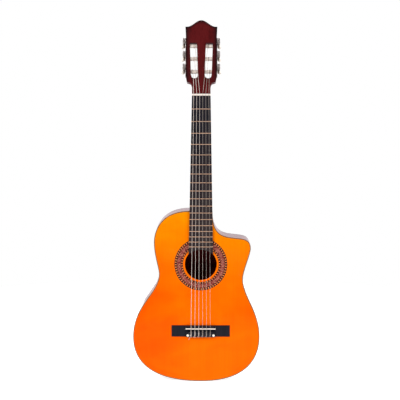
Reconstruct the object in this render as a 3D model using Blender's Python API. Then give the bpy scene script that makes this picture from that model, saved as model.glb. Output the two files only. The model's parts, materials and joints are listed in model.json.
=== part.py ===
"""Classical guitar with a single cutaway, standing upright.

Units are metres.  +Z runs up the neck, the soundboard faces -Y and the treble
side is +X.  The origin is on the neck centre line, in the plane of the
soundboard's front face, at the lowest point of the tail.
"""

import math

import bmesh
import bpy
from mathutils import Vector

# ---- scale and strings -------------------------------------------------
SCALE_LENGTH = 0.6235
COMPENSATION = 0.0025
NUT_Z = 0.7725
NUT_THICKNESS = 0.005
SADDLE_Z = NUT_Z - SCALE_LENGTH - COMPENSATION
FRET_COUNT = 18
STRING_COUNT = 6
NUT_PITCH = 0.0080
SADDLE_PITCH = 0.0104
STRING_Y_NUT = -0.0085
STRING_Y_SADDLE = -0.0125
TREBLE_STRING_RADIUS = 0.00036
BASS_STRING_RADIUS = 0.00056

# ---- body --------------------------------------------------------------
BODY_DEPTH = 0.090
BODY_TOP_Z = 0.465
PLATE_T = 0.0025
SIDE_T = 0.0020
BINDING_W = 0.0022
BINDING_H = 0.0050
LINING_W = 0.0060
LINING_H = 0.0135
TAIL_BLOCK_RISE = 0.0025
GLUE = 0.0001
TAIL_SEAM = 0.0004
NECK_JOINT_HALF = 0.031
CURVE_STEPS = 8

# Each station is (x, z, tangent x, tangent z) on the edge of the body.
TAIL_B = (0.0, 0.0, -1.0, 0.0)
LOWER_B = (-0.183, 0.122, 0.0, 1.0)
WAIST_B = (-0.1125, 0.294, 0.0, 1.0)
UPPER_B = (-0.126, 0.3805, 0.0, 1.0)
NECK_B = (-NECK_JOINT_HALF, BODY_TOP_Z, 1.0, 0.0)
TAIL_T = (0.0, 0.0, 1.0, 0.0)
LOWER_T = (0.1595, 0.1235, 0.0, 1.0)
WAIST_T = (0.1135, 0.282, 0.0, 1.0)
HORN_T = (0.134, 0.364, 0.0, 1.0)
HORN_TIP = (0.1055, 0.391, -1.0, 0.12)
NECK_T = (NECK_JOINT_HALF, BODY_TOP_Z, 0.0, 1.0)

# A segment is (start, end, start pull, end pull); pulls are chord fractions.
BASS_EDGE = (
    (TAIL_B, LOWER_B, 0.57, 0.34),
    (LOWER_B, WAIST_B, 0.47, 0.28),
    (WAIST_B, UPPER_B, 0.18, 0.42),
    (UPPER_B, NECK_B, 0.25, 0.60),
)
TREBLE_EDGE = (
    (TAIL_T, LOWER_T, 0.72, 0.20),
    (LOWER_T, WAIST_T, 0.42, 0.29),
    (WAIST_T, HORN_T, 0.24, 0.19),
    (HORN_T, HORN_TIP, 0.38, 0.60),
    (HORN_TIP, NECK_T, 0.40, 0.69),
)

# ---- soundhole and rosette ---------------------------------------------
HOLE_Z = 0.3213
HOLE_RADIUS = 0.0430
ROSETTE_INNER = 0.048
ROSETTE_OUTER = 0.0712
ROSETTE_T = 0.0008

# ---- bracing -----------------------------------------------------------
BRACE_W = 0.006
FAN_H = 0.005
FAN_TOP_Z = 0.258
FAN_TAIL_Z = 0.036
FAN_TOP_PITCH = 0.018
FAN_TAIL_PITCH = 0.048
FAN_COUNT = 5
BAR_H = 0.012
TOP_BAR_ZS = (0.380, 0.2665)
BACK_BAR_ZS = (0.368, 0.258, 0.122)
BRIDGE_PLATE_HALF = 0.080
BRIDGE_PLATE_Z = (0.1215, 0.1575)
BRIDGE_PLATE_T = 0.0016

# ---- neck, heel and fingerboard ----------------------------------------
BOARD_T = 0.0062
BOARD_W_NUT = 0.0495
BOARD_TAPER = 0.0382
BOARD_END_Z = 0.345
BOARD_ARCH_Z = 0.3613
BOARD_ARCH_R = 0.0494
FRET_H = 0.0009
FRET_HALF_FOOT = 0.0010
FRET_HALF_TOP = 0.0004
NECK_D_NUT = 0.0215
NECK_D_HEEL = 0.0245
HEEL_START_Z = 0.530
HEEL_GAP = 0.0003
HEEL_BACK_Y = 0.0874
HEEL_DEEPEST = 0.118
HEEL_CAP_HALF = 0.0190
HEEL_CAP_LENGTH = 0.0075

# ---- headstock: u runs up its face, w runs out of its face ---------------
HEAD_TILT = math.radians(12.0)
HEAD_ORIGIN = Vector((0.0, -0.0021, NUT_Z + NUT_THICKNESS + 0.0002))
HEADPLATE_T = 0.002
HEAD_BACK_W = -0.020
HEAD_START_U = 0.001
HEAD_NECK_HALF = 0.0245
HEAD_FLARE_U = 0.0165
HEAD_FLARE_HALF = 0.0310
HEAD_EAR_HALF = 0.0380
HEAD_EAR_U = 0.0315
HEAD_CHEEK_HALF = 0.0412
HEAD_CHEEK_U = (0.0485, 0.1550)
HEAD_SHOULDER_HALF = 0.0426
HEAD_SHOULDER_U = 0.1822
HEAD_TOP_U = 0.2000
CREST_HALF = 0.038
SLOT_HALF = 0.0093
SLOT_U = (0.0432, 0.1384)
SLOT_X = (0.0182, 0.0213)
RAMP_START_U = 0.0237
RAMP_END_U = 0.058
RAMP_DEPTH = 0.0105

# ---- tuning machines ---------------------------------------------------
ROLLER_US = (0.0618, 0.0968, 0.1318)
ROLLER_W = -0.011
ROLLER_RADIUS = 0.005
ROLLER_INNER_X = 0.0068
JOURNAL_RADIUS = 0.0021
JOURNAL_END_X = 0.0486
BORE_GAP = 0.0003
WORM_OFFSET = 0.0082
WORM_X = 0.0459
WORM_RADIUS = 0.0027
WORM_HALF = 0.0065
SHAFT_RADIUS = 0.0016
GEAR_RADIUS = 0.0052
GEAR_X = (0.0440, 0.0478)
PLATE_X = (0.0413, 0.0425)
PLATE_U = (0.0456, 0.1538)
PLATE_HALF_W = 0.0078
PLATE_BORE_RADIUS = 0.0024
LUG_T = 0.0014
LUG_W = 0.0086
LUG_HALF_U = 0.0043
LUG_END_X = 0.0500
BOSS_RADIUS = 0.0030
BOSS_END_X = 0.0496
BUTTON_W = (-0.0290, -0.0470)
BUTTON_HALF_X = 0.0100
BUTTON_HALF_U = 0.0045
BUTTON_TURN = math.radians(55.0)
STRING_LANES = (0.0215, 0.0180, 0.0170)

# ---- nut, saddle and bridge ----------------------------------------------
NUT_TOP_Y = -0.0092
SADDLE_HALF = 0.0405
SADDLE_T = 0.0025
SADDLE_TOP_Y = -0.0113
SADDLE_FRONT_Y = -0.0109
SADDLE_BACK_Y = -0.0103
SADDLE_FOOT_Y = -0.0035
WING_HALF = 0.0788
WING_Z = (0.1245, 0.1545)
WING_H = 0.0036
BLOCK_HALF = 0.0405
BLOCK_TOP_Y = -0.0080
TIE_Z = (0.1232, 0.1380)
TIE_HALF = 0.0388
TIE_TOP_Y = -0.0088
TROUGH_Z = 0.1430
TIE_HOLE_Y = -0.0050
TIE_HOLE_RADIUS = 0.0009
CAP_RADIUS = 0.0034
CAP_T = 0.0008
CAP_X = 0.0347
CAP_Z = 0.1282

# ---- colours: name -> (red, green, blue, roughness, metallic) ------------
FINISHES = {
    "orange_lacquer": (0.95, 0.27, 0.01, 0.18, 0.0),
    "red_brown_lacquer": (0.17, 0.03, 0.02, 0.18, 0.0),
    "bare_spruce": (0.62, 0.42, 0.22, 0.75, 0.0),
    "black_hardwood": (0.02, 0.018, 0.02, 0.4, 0.0),
    "dark_binding": (0.06, 0.02, 0.015, 0.3, 0.0),
    "rosette_mosaic": (0.35, 0.09, 0.09, 0.35, 0.0),
    "ivory_plastic": (0.88, 0.83, 0.74, 0.35, 0.0),
    "pearl_plastic": (0.90, 0.87, 0.82, 0.25, 0.0),
    "clear_nylon": (0.80, 0.80, 0.78, 0.2, 0.0),
    "wound_silver": (0.75, 0.74, 0.72, 0.3, 1.0),
    "nickel_plate": (0.62, 0.60, 0.56, 0.3, 1.0),
    "brass": (0.72, 0.52, 0.25, 0.35, 1.0),
}


def clear_scene():
    for obj in list(bpy.data.objects):
        bpy.data.objects.remove(obj, do_unlink=True)


def finish_material(name):
    material = bpy.data.materials.get(name)
    if material is None:
        red, green, blue, rough, metal = FINISHES[name]
        material = bpy.data.materials.new(name)
        material.use_nodes = True
        shader = material.node_tree.nodes["Principled BSDF"]
        shader.inputs["Base Color"].default_value = (red, green, blue, 1.0)
        shader.inputs["Roughness"].default_value = rough
        shader.inputs["Metallic"].default_value = metal
    return material


def node_from_bmesh(name, bm, finish):
    bmesh.ops.remove_doubles(bm, verts=bm.verts, dist=1e-7)
    bmesh.ops.recalc_face_normals(bm, faces=bm.faces)
    mesh = bpy.data.meshes.new(name)
    bm.to_mesh(mesh)
    bm.free()
    obj = bpy.data.objects.new(name, mesh)
    bpy.context.scene.collection.objects.link(obj)
    mesh.materials.append(finish_material(finish))
    return obj


def combine(obj, others, operation):
    """Joins or cuts obj with each of the other solids, which are used up."""
    for other in others:
        modifier = obj.modifiers.new(operation.lower(), "BOOLEAN")
        modifier.operation = operation
        modifier.solver = "EXACT"
        modifier.object = other
        graph = bpy.context.evaluated_depsgraph_get()
        mesh = bpy.data.meshes.new_from_object(obj.evaluated_get(graph))
        obj.modifiers.clear()
        obj.data = mesh
        bpy.data.objects.remove(other, do_unlink=True)
    keep_one_finish(obj)
    return obj


def keep_one_finish(obj):
    finish = obj.data.materials[0]
    obj.data.materials.clear()
    obj.data.materials.append(finish)
    for polygon in obj.data.polygons:
        polygon.material_index = 0


def skin(rings, closed_ends=True):
    """A bmesh skinned over rings of points that all have the same count."""
    bm = bmesh.new()
    loops = [[bm.verts.new(point) for point in ring] for ring in rings]
    count = len(rings[0])
    for near, far in zip(loops, loops[1:]):
        for i in range(count):
            j = (i + 1) % count
            bm.faces.new((near[i], near[j], far[j], far[i]))
    if closed_ends:
        bm.faces.new(reversed(loops[0]))
        bm.faces.new(loops[-1])
    return bm


def prism_y(name, points, y_front, y_back, finish):
    """A slab whose outline is in x and z."""
    rings = [[Vector((x, y, z)) for x, z in points] for y in (y_front, y_back)]
    return node_from_bmesh(name, skin(rings), finish)


def prism_x(name, points, x_start, x_end, finish):
    """A slab whose outline is in y and z."""
    rings = [[Vector((x, y, z)) for y, z in points] for x in (x_start, x_end)]
    return node_from_bmesh(name, skin(rings), finish)


def box(name, low, high, finish):
    corners = [(low[0], low[2]), (high[0], low[2]), (high[0], high[2]), (low[0], high[2])]
    return prism_y(name, corners, low[1], high[1], finish)


def circle_xz(radius, centre_z, steps, centre_x=0.0):
    turns = [2.0 * math.pi * i / steps for i in range(steps)]
    return [(centre_x + radius * math.cos(a), centre_z + radius * math.sin(a)) for a in turns]


def side_axes(axis):
    helper = Vector((0.0, 0.0, 1.0)) if abs(axis.z) < 0.9 else Vector((1.0, 0.0, 0.0))
    first = axis.cross(helper).normalized()
    return first, axis.cross(first).normalized()


def turned(name, base, axis, profile, steps, finish):
    """A solid turned about an axis; profile is (distance along, radius) pairs."""
    first, second = side_axes(axis)
    turns = [2.0 * math.pi * i / steps for i in range(steps)]
    spokes = [first * math.cos(a) + second * math.sin(a) for a in turns]
    rings = [[base + axis * d + spoke * r for spoke in spokes] for d, r in profile]
    return node_from_bmesh(name, skin(rings), finish)


def tube(name, path, radius, steps, finish):
    """A round tube along a path, mitred at each bend."""
    rings = []
    for i, point in enumerate(path):
        before = (point - path[max(i - 1, 0)]).normalized()
        after = (path[min(i + 1, len(path) - 1)] - point).normalized()
        along = (before + after).normalized()
        side = Vector((1.0, 0.0, 0.0)) - along * along.x
        side.normalize()
        up = along.cross(side)
        turns = [2.0 * math.pi * k / steps for k in range(steps)]
        rings.append([point + (side * math.cos(a) + up * math.sin(a)) * radius for a in turns])
    return node_from_bmesh(name, skin(rings), finish)


# ---- body ----------------------------------------------------------------
def edge_segment(start, end, start_pull, end_pull):
    first = Vector(start[:2])
    last = Vector(end[:2])
    chord = (last - first).length
    leave = first + Vector(start[2:]).normalized() * chord * start_pull
    arrive = last - Vector(end[2:]).normalized() * chord * end_pull
    points = []
    for i in range(CURVE_STEPS):
        t = i / CURVE_STEPS
        s = 1.0 - t
        points.append(
            first * s ** 3 + leave * 3 * s * s * t + arrive * 3 * s * t * t + last * t ** 3
        )
    return points


def edge_curve(segments):
    points = []
    for segment in segments:
        points.extend(edge_segment(*segment))
    points.append(Vector(segments[-1][1][:2]))
    return points


def whole_edge():
    """The open edge from the bass neck joint round the tail to the treble one."""
    bass = edge_curve(BASS_EDGE)
    treble = edge_curve(TREBLE_EDGE)
    return list(reversed(bass)) + treble[1:]


def inset(points, distance):
    """Moves an open edge line inwards; the body lies on its left."""
    moved = []
    for i, point in enumerate(points):
        before = points[max(i - 1, 0)]
        after = points[min(i + 1, len(points) - 1)]
        along = (after - before).normalized()
        moved.append(point + Vector((-along.y, along.x)) * distance)
    return moved


def ribbon(name, points, near, far, y_front, y_back, finish):
    """A wall that follows an open edge line between two inset distances."""
    outer = inset(points, near)
    inner = inset(points, far)
    rings = []
    for out, inn in zip(outer, inner):
        corners = ((out, y_front), (inn, y_front), (inn, y_back), (out, y_back))
        rings.append([Vector((p.x, y, p.y)) for p, y in corners])
    return node_from_bmesh(name, skin(rings), finish)


def plate_outline(distance):
    return [(p.x, p.y) for p in inset(whole_edge(), distance)]


def span_at(z, distance):
    """The widest clear run across the inside of the body at height z."""
    edge = inset(whole_edge(), distance)
    hits = []
    for a, b in zip(edge, edge[1:]):
        if (a.y - z) * (b.y - z) < 0.0:
            hits.append(a.x + (b.x - a.x) * (z - a.y) / (b.y - a.y))
    return min(hits), max(hits)


def make_plates():
    outline = plate_outline(BINDING_W + GLUE)
    board = prism_y("soundboard", outline, 0.0, PLATE_T, "orange_lacquer")
    hole = prism_y("cut", circle_xz(HOLE_RADIUS, HOLE_Z, 48), -0.01, 0.01, "orange_lacquer")
    groove = ring("cut", ROSETTE_INNER - GLUE, ROSETTE_OUTER + GLUE, -0.01, ROSETTE_T + GLUE)
    combine(board, [hole, groove], "DIFFERENCE")
    ring("rosette", ROSETTE_INNER, ROSETTE_OUTER, 0.0, ROSETTE_T)
    back_y = BODY_DEPTH - PLATE_T
    prism_y("back_plate", outline, back_y, BODY_DEPTH, "red_brown_lacquer")


def ring(name, inner, outer, y_front, y_back):
    body = bmesh.new()
    corners = ((inner, y_front), (outer, y_front), (outer, y_back), (inner, y_back))
    loops = []
    for radius, y in corners:
        points = circle_xz(radius, HOLE_Z, 48)
        loops.append([body.verts.new((x, y, z)) for x, z in points])
    for k in range(4):
        near = loops[k]
        far = loops[(k + 1) % 4]
        for i in range(48):
            j = (i + 1) % 48
            body.faces.new((near[i], near[j], far[j], far[i]))
    return node_from_bmesh(name, body, "rosette_mosaic")


def make_walls():
    bass = list(reversed(edge_curve(BASS_EDGE)))
    treble = edge_curve(TREBLE_EDGE)
    bass[-1] = Vector((-TAIL_SEAM, bass[-1].y))
    treble[0] = Vector((TAIL_SEAM, treble[0].y))
    front = BINDING_H + 2 * GLUE
    back = BODY_DEPTH - front
    ribbon("side_bass", bass, 0.0, SIDE_T, front, back, "red_brown_lacquer")
    ribbon("side_treble", treble, 0.0, SIDE_T, front, back, "red_brown_lacquer")
    edge = whole_edge()
    ribbon("top_binding", edge, 0.0, BINDING_W, 0.0, BINDING_H, "dark_binding")
    back = BODY_DEPTH - BINDING_H
    ribbon("back_binding", edge, 0.0, BINDING_W, back, BODY_DEPTH, "dark_binding")


def make_linings():
    edge = whole_edge()[:-CURVE_STEPS + 2]
    near = BINDING_W + 2 * GLUE
    far = near + LINING_W
    front = PLATE_T + 2 * GLUE
    back = BODY_DEPTH - front
    ribbon("top_lining", edge, near, far, front, front + LINING_H, "bare_spruce")
    ribbon("back_lining", edge, near, far, back - LINING_H, back, "bare_spruce")


def make_blocks():
    front = PLATE_T + 2 * GLUE
    back = BODY_DEPTH - front
    top = BODY_TOP_Z - 0.0005
    box("neck_block", (-0.0285, front, 0.406), (0.0280, back, top), "bare_spruce")
    low = BINDING_W + LINING_W + TAIL_BLOCK_RISE
    box("tail_block", (-0.030, front, low), (0.030, back, low + 0.015), "bare_spruce")


def make_fan_braces():
    front = PLATE_T + GLUE
    plate_back = front + BRIDGE_PLATE_T + 2 * GLUE
    middle = (FAN_COUNT - 1) / 2
    notch_low = BRIDGE_PLATE_Z[0] - 0.001
    notch_high = BRIDGE_PLATE_Z[1] + 0.001
    stations = (FAN_TAIL_Z, notch_low, notch_low, notch_high, notch_high, FAN_TOP_Z)
    fronts = (front, front, plate_back, plate_back, front, front)
    for k in range(FAN_COUNT):
        top_x = (k - middle) * FAN_TOP_PITCH
        tail_x = (k - middle) * FAN_TAIL_PITCH
        rings = []
        for z, y in zip(stations, fronts):
            share = (z - FAN_TAIL_Z) / (FAN_TOP_Z - FAN_TAIL_Z)
            x = tail_x + (top_x - tail_x) * share
            low = x - BRACE_W / 2
            high = x + BRACE_W / 2
            back = front + FAN_H
            corners = ((low, y), (high, y), (high, back), (low, back))
            rings.append([Vector((cx, cy, z)) for cx, cy in corners])
        node_from_bmesh(f"fan_brace_{k + 1}", skin(rings), "bare_spruce")


def make_cross_bars():
    clear = BINDING_W + LINING_W + 0.001
    front = PLATE_T + GLUE
    for name, z in zip(("upper_bar", "lower_bar"), TOP_BAR_ZS):
        cross_bar(name, z, clear, front, front + BAR_H)
    back = BODY_DEPTH - PLATE_T - GLUE
    for k, z in enumerate(BACK_BAR_ZS):
        cross_bar(f"back_bar_{k + 1}", z, clear, back - BAR_H, back)


def cross_bar(name, z, clear, y_front, y_back):
    half = BRACE_W / 2
    lows = [span_at(level, clear)[0] for level in (z - half, z + half)]
    highs = [span_at(level, clear)[1] for level in (z - half, z + half)]
    box(name, (max(lows), y_front, z - half), (min(highs), y_back, z + half), "bare_spruce")


def make_bridge_plate():
    front = PLATE_T + GLUE
    low = (-BRIDGE_PLATE_HALF, front, BRIDGE_PLATE_Z[0])
    high = (BRIDGE_PLATE_HALF, front + BRIDGE_PLATE_T, BRIDGE_PLATE_Z[1])
    box("bridge_plate", low, high, "bare_spruce")


# ---- headstock -------------------------------------------------------------
def head_point(x, u, w):
    """A point in the headstock's own frame, as a point in space."""
    y = HEAD_ORIGIN.y + u * math.sin(HEAD_TILT) - w * math.cos(HEAD_TILT)
    z = HEAD_ORIGIN.z + u * math.cos(HEAD_TILT) + w * math.sin(HEAD_TILT)
    return Vector((x, y, z))


def head_normal():
    return Vector((0.0, -math.cos(HEAD_TILT), math.sin(HEAD_TILT)))


def head_prism(name, points, w_front, w_back, finish):
    rings = [[head_point(x, u, w) for x, u in points] for w in (w_front, w_back)]
    return node_from_bmesh(name, skin(rings), finish)


def head_box(name, low, high, finish):
    corners = [(low[0], low[1]), (high[0], low[1]), (high[0], high[1]), (low[0], high[1])]
    return head_prism(name, corners, low[2], high[2], finish)


def head_half_outline():
    """Half of the headstock's outline, from the neck to the crest."""
    points = [(HEAD_NECK_HALF, HEAD_START_U)]
    for k in range(8):
        turn = 0.5 * math.pi * k / 7
        x = HEAD_FLARE_HALF - (HEAD_FLARE_HALF - HEAD_NECK_HALF) * math.cos(turn)
        points.append((x, HEAD_FLARE_U + (HEAD_EAR_U - 0.0015 - HEAD_FLARE_U) * math.sin(turn)))
    points.append((HEAD_EAR_HALF, HEAD_EAR_U))
    points.append((HEAD_CHEEK_HALF, HEAD_CHEEK_U[0]))
    points.append((HEAD_CHEEK_HALF, HEAD_CHEEK_U[1]))
    points.append((HEAD_SHOULDER_HALF, HEAD_SHOULDER_U))
    rise = HEAD_TOP_U - HEAD_SHOULDER_U
    for k in range(12):
        x = CREST_HALF * (1.0 - k / 12)
        wave = 0.5 + 0.5 * math.cos(math.pi * x / CREST_HALF)
        points.append((x, HEAD_SHOULDER_U + rise * wave))
    return points


def head_outline():
    right = head_half_outline()
    left = [(-x, u) for x, u in reversed(right)]
    return right + [(0.0, HEAD_TOP_U)] + left


def slot_outline(side):
    """A slot with a rounded end towards the nut; side is -1 or +1."""
    low_x = side * SLOT_X[0]
    high_x = side * SLOT_X[1]
    bend_u = SLOT_U[0] + SLOT_HALF
    points = [(high_x + SLOT_HALF, SLOT_U[1]), (high_x - SLOT_HALF, SLOT_U[1])]
    for k in range(11):
        angle = math.pi + math.pi * k / 10
        points.append((low_x + SLOT_HALF * math.cos(angle), bend_u + SLOT_HALF * math.sin(angle)))
    return points


def slot_cutters():
    cutters = []
    for side in (-1, 1):
        cutters.append(head_prism("cut", slot_outline(side), 0.01, -0.03, "red_brown_lacquer"))
        cutters.append(ramp_cutter(side))
    return cutters


def ramp_cutter(side):
    """The sloping end of a slot, where the nearest string dips inside."""
    centre = side * SLOT_X[0]
    top = 0.01
    profile = ((RAMP_START_U, 0.0), (RAMP_END_U, -RAMP_DEPTH), (RAMP_END_U, top), (RAMP_START_U, top))
    half = SLOT_HALF - 0.0015
    rings = [[head_point(centre + s * half, u, w) for u, w in profile] for s in (-1, 1)]
    return node_from_bmesh("cut", skin(rings), "red_brown_lacquer")


def roller_bores():
    bores = []
    axis = Vector((1.0, 0.0, 0.0))
    for side in (-1, 1):
        for u in ROLLER_US:
            base = head_point(side * (ROLLER_INNER_X - BORE_GAP), u, ROLLER_W)
            reach = 0.05
            profile = ((0.0, ROLLER_RADIUS + BORE_GAP), (reach, ROLLER_RADIUS + BORE_GAP))
            bores.append(turned("cut", base, axis * side, profile, 20, "red_brown_lacquer"))
    return bores


# ---- neck ------------------------------------------------------------------
def board_half_width(z):
    return 0.5 * (BOARD_W_NUT + BOARD_TAPER * (NUT_Z - z))


def neck_depth(z):
    straight = NECK_D_NUT + (NECK_D_HEEL - NECK_D_NUT) * (NUT_Z - z) / (NUT_Z - BODY_TOP_Z)
    if z >= HEEL_START_Z:
        return straight
    share = (HEEL_START_Z - z) / (HEEL_START_Z - BODY_TOP_Z)
    return straight + (HEEL_DEEPEST - straight) * share ** 3.2


def neck_section(z):
    half = board_half_width(z)
    depth = neck_depth(z)
    points = []
    for k in range(17):
        angle = math.pi * k / 16
        x = half * math.copysign(abs(math.cos(angle)) ** 0.9, math.cos(angle))
        y = min(depth * math.sin(angle) ** 0.9, HEEL_BACK_Y)
        points.append(Vector((x, y, z)))
    return points


def make_neck():
    top = NUT_Z + NUT_THICKNESS
    heel_rise = HEEL_START_Z - BODY_TOP_Z
    heel_zs = [BODY_TOP_Z + HEEL_GAP + heel_rise * (k / 11) ** 1.4 for k in range(12)]
    shaft_zs = [0.60, 0.68, 0.75, top]
    rings = [neck_section(z) for z in heel_zs + shaft_zs]
    neck = node_from_bmesh("neck", skin(rings), "red_brown_lacquer")
    head = head_prism("join", head_outline(), -HEADPLATE_T - GLUE, HEAD_BACK_W, "red_brown_lacquer")
    combine(neck, [head], "UNION")
    combine(neck, slot_cutters() + roller_bores(), "DIFFERENCE")


def make_headplate():
    plate = head_prism("headplate", head_outline(), 0.0, -HEADPLATE_T, "red_brown_lacquer")
    combine(plate, slot_cutters(), "DIFFERENCE")


def make_heel_cap():
    points = []
    for k in range(13):
        angle = math.pi * k / 12
        x = HEEL_CAP_HALF * math.cos(angle)
        points.append((x, BODY_TOP_Z + HEEL_GAP + HEEL_CAP_LENGTH * math.sin(angle)))
    back = HEEL_BACK_Y + GLUE
    prism_y("heel_cap", points, back, back + PLATE_T, "dark_binding")


def fret_position(number):
    return NUT_Z - SCALE_LENGTH * (1.0 - 2.0 ** (-number / 12))


def board_stations():
    """Heights along the fingerboard paired with the height of its face."""
    stations = [(BOARD_END_Z, 0.0)]
    for number in range(FRET_COUNT, 0, -1):
        z = fret_position(number)
        stations.append((z - FRET_HALF_FOOT, 0.0))
        stations.append((z - FRET_HALF_TOP, FRET_H))
        stations.append((z + FRET_HALF_TOP, FRET_H))
        stations.append((z + FRET_HALF_FOOT, 0.0))
    stations.append((NUT_Z - GLUE, 0.0))
    return stations


def make_fingerboard():
    rings = []
    for z, rise in board_stations():
        half = board_half_width(z)
        front = -BOARD_T - rise
        corners = ((-half, front), (half, front), (half, -GLUE), (-half, -GLUE))
        rings.append([Vector((x, y, z)) for x, y in corners])
    board = node_from_bmesh("fingerboard", skin(rings), "black_hardwood")
    centre_z = BOARD_ARCH_Z - BOARD_ARCH_R
    arch = prism_y("cut", circle_xz(BOARD_ARCH_R, centre_z, 64), -0.02, 0.01, "black_hardwood")
    combine(board, [arch], "DIFFERENCE")


# ---- strings ---------------------------------------------------------------
def string_side(number):
    return 1 if number <= STRING_COUNT // 2 else -1


def string_rank(number):
    """0 for the outer string of a side, 2 for the one next to the centre."""
    return number - 1 if number <= STRING_COUNT // 2 else STRING_COUNT - number


def string_x(number, pitch):
    return ((STRING_COUNT + 1) / 2 - number) * pitch


def string_radius(number):
    share = (number - 1) / (STRING_COUNT - 1)
    return TREBLE_STRING_RADIUS + (BASS_STRING_RADIUS - TREBLE_STRING_RADIUS) * share


def string_path(number):
    """From the machine, over the nut and saddle, and round the tie block."""
    rank = string_rank(number)
    radius = string_radius(number)
    lane = string_side(number) * STRING_LANES[rank]
    front = ROLLER_W + ROLLER_RADIUS + radius + BORE_GAP
    nut_x = string_x(number, NUT_PITCH)
    x = string_x(number, SADDLE_PITCH)
    return [
        head_point(lane, ROLLER_US[rank], front),
        Vector((nut_x, STRING_Y_NUT, NUT_Z + 0.0012)),
        Vector((x, STRING_Y_SADDLE, SADDLE_Z)),
        Vector((x, TIE_HOLE_Y, TIE_Z[1] + 0.0006)),
        Vector((x, TIE_HOLE_Y, TIE_Z[0] - 0.0007)),
        Vector((x, TIE_HOLE_Y - 0.0006, TIE_Z[0] - 0.0012)),
        Vector((x, TIE_TOP_Y - 0.0004, TIE_Z[0] - 0.0012)),
        Vector((x, TIE_TOP_Y - 0.0012, TIE_Z[0] - 0.0002)),
        Vector((x, TIE_TOP_Y - 0.0012, TIE_Z[1] - 0.0030)),
    ]


def make_strings():
    for number in range(1, STRING_COUNT + 1):
        finish = "clear_nylon" if string_side(number) > 0 else "wound_silver"
        tube(f"string_{number}", string_path(number), string_radius(number), 6, finish)


def make_nut():
    half = BOARD_W_NUT / 2
    top = NUT_Z + NUT_THICKNESS - GLUE
    nut = box("nut", (-half, NUT_TOP_Y, NUT_Z), (half, -GLUE, top), "ivory_plastic")
    slots = []
    for number in range(1, STRING_COUNT + 1):
        radius = string_radius(number) + BORE_GAP
        path = string_path(number)[:3]
        slots.append(tube("cut", path, radius, 8, "ivory_plastic"))
    combine(nut, slots, "DIFFERENCE")


# ---- bridge ----------------------------------------------------------------
def make_bridge():
    low, high = WING_Z
    lip = 0.0008
    wing_points = (
        (-GLUE, low), (-WING_H + lip, low), (-WING_H, low + lip),
        (-WING_H, high - lip), (-WING_H + lip, high), (-GLUE, high),
    )
    bridge = prism_x("bridge", wing_points, -WING_HALF, WING_HALF, "black_hardwood")
    mount_high = (BLOCK_HALF, -0.001, high - 0.0002)
    mount = box("join", (-BLOCK_HALF, BLOCK_TOP_Y, TROUGH_Z), mount_high, "black_hardwood")
    tie_high = (TIE_HALF, -GLUE, TIE_Z[1])
    tie = box("join", (-TIE_HALF, TIE_TOP_Y, TIE_Z[0]), tie_high, "black_hardwood")
    combine(bridge, [mount, tie], "UNION")
    half = SADDLE_T / 2 + GLUE
    slot_low = (-SADDLE_HALF - 0.001, -0.02, SADDLE_Z - half)
    slot_high = (SADDLE_HALF + 0.001, SADDLE_FOOT_Y + GLUE, SADDLE_Z + half)
    cutters = [box("cut", slot_low, slot_high, "black_hardwood")]
    axis = Vector((0.0, 0.0, 1.0))
    for number in range(1, STRING_COUNT + 1):
        base = Vector((string_x(number, SADDLE_PITCH), TIE_HOLE_Y, TIE_Z[0] - 0.002))
        profile = ((0.0, TIE_HOLE_RADIUS), (0.018, TIE_HOLE_RADIUS))
        cutters.append(turned("cut", base, axis, profile, 10, "black_hardwood"))
    combine(bridge, cutters, "DIFFERENCE")


def make_saddle():
    half = SADDLE_T / 2
    points = (
        (SADDLE_FOOT_Y, SADDLE_Z - half), (SADDLE_BACK_Y, SADDLE_Z - half),
        (SADDLE_TOP_Y, SADDLE_Z - 0.0002), (SADDLE_TOP_Y, SADDLE_Z + 0.0008),
        (SADDLE_FRONT_Y, SADDLE_Z + half), (SADDLE_FOOT_Y, SADDLE_Z + half),
    )
    prism_x("saddle", points, -SADDLE_HALF, SADDLE_HALF, "ivory_plastic")


def make_pearl_caps():
    for name, side in (("pearl_cap_bass", -1), ("pearl_cap_treble", 1)):
        outline = circle_xz(CAP_RADIUS, CAP_Z, 20, side * CAP_X)
        foot = TIE_TOP_Y - GLUE
        prism_y(name, outline, foot - CAP_T, foot, "pearl_plastic")


# ---- tuning machines ---------------------------------------------------------
def machine_names():
    """Each machine's string number, side and place along the headstock."""
    numbers = range(1, STRING_COUNT + 1)
    return [(n, string_side(n), ROLLER_US[string_rank(n)]) for n in numbers]


def make_tuner_plate(name, side):
    near, far = (side * PLATE_X[0], side * PLATE_X[1])
    front = ROLLER_W + PLATE_HALF_W
    back = ROLLER_W - PLATE_HALF_W
    low = (min(near, far), PLATE_U[0], front)
    high = (max(near, far), PLATE_U[1], back)
    plate = head_box(name, low, high, "nickel_plate")
    outward = Vector((float(side), 0.0, 0.0))
    lugs = []
    bosses = []
    bores = []
    pitch = ROLLER_US[1] - ROLLER_US[0]
    for u in ROLLER_US:
        lugs.extend(worm_lugs(side, u + WORM_OFFSET))
        bosses.append(plate_boss(outward, side, u + pitch / 2))
        base = head_point(side * 0.040, u, ROLLER_W)
        hole = ((0.0, PLATE_BORE_RADIUS), (0.01, PLATE_BORE_RADIUS))
        bores.append(turned("cut", base, outward, hole, 12, "nickel_plate"))
    combine(plate, lugs + bosses, "UNION")
    combine(plate, bores + lug_bores(side), "DIFFERENCE")


def worm_lugs(side, u):
    lugs = []
    ends = (side * (PLATE_X[0] + 0.0002), side * LUG_END_X)
    for face in (1, -1):
        w_near = ROLLER_W + face * (LUG_W - LUG_T)
        w_far = ROLLER_W + face * LUG_W
        low = (min(ends), u - LUG_HALF_U, max(w_near, w_far))
        high = (max(ends), u + LUG_HALF_U, min(w_near, w_far))
        lugs.append(head_box("join", low, high, "nickel_plate"))
    return lugs


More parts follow.
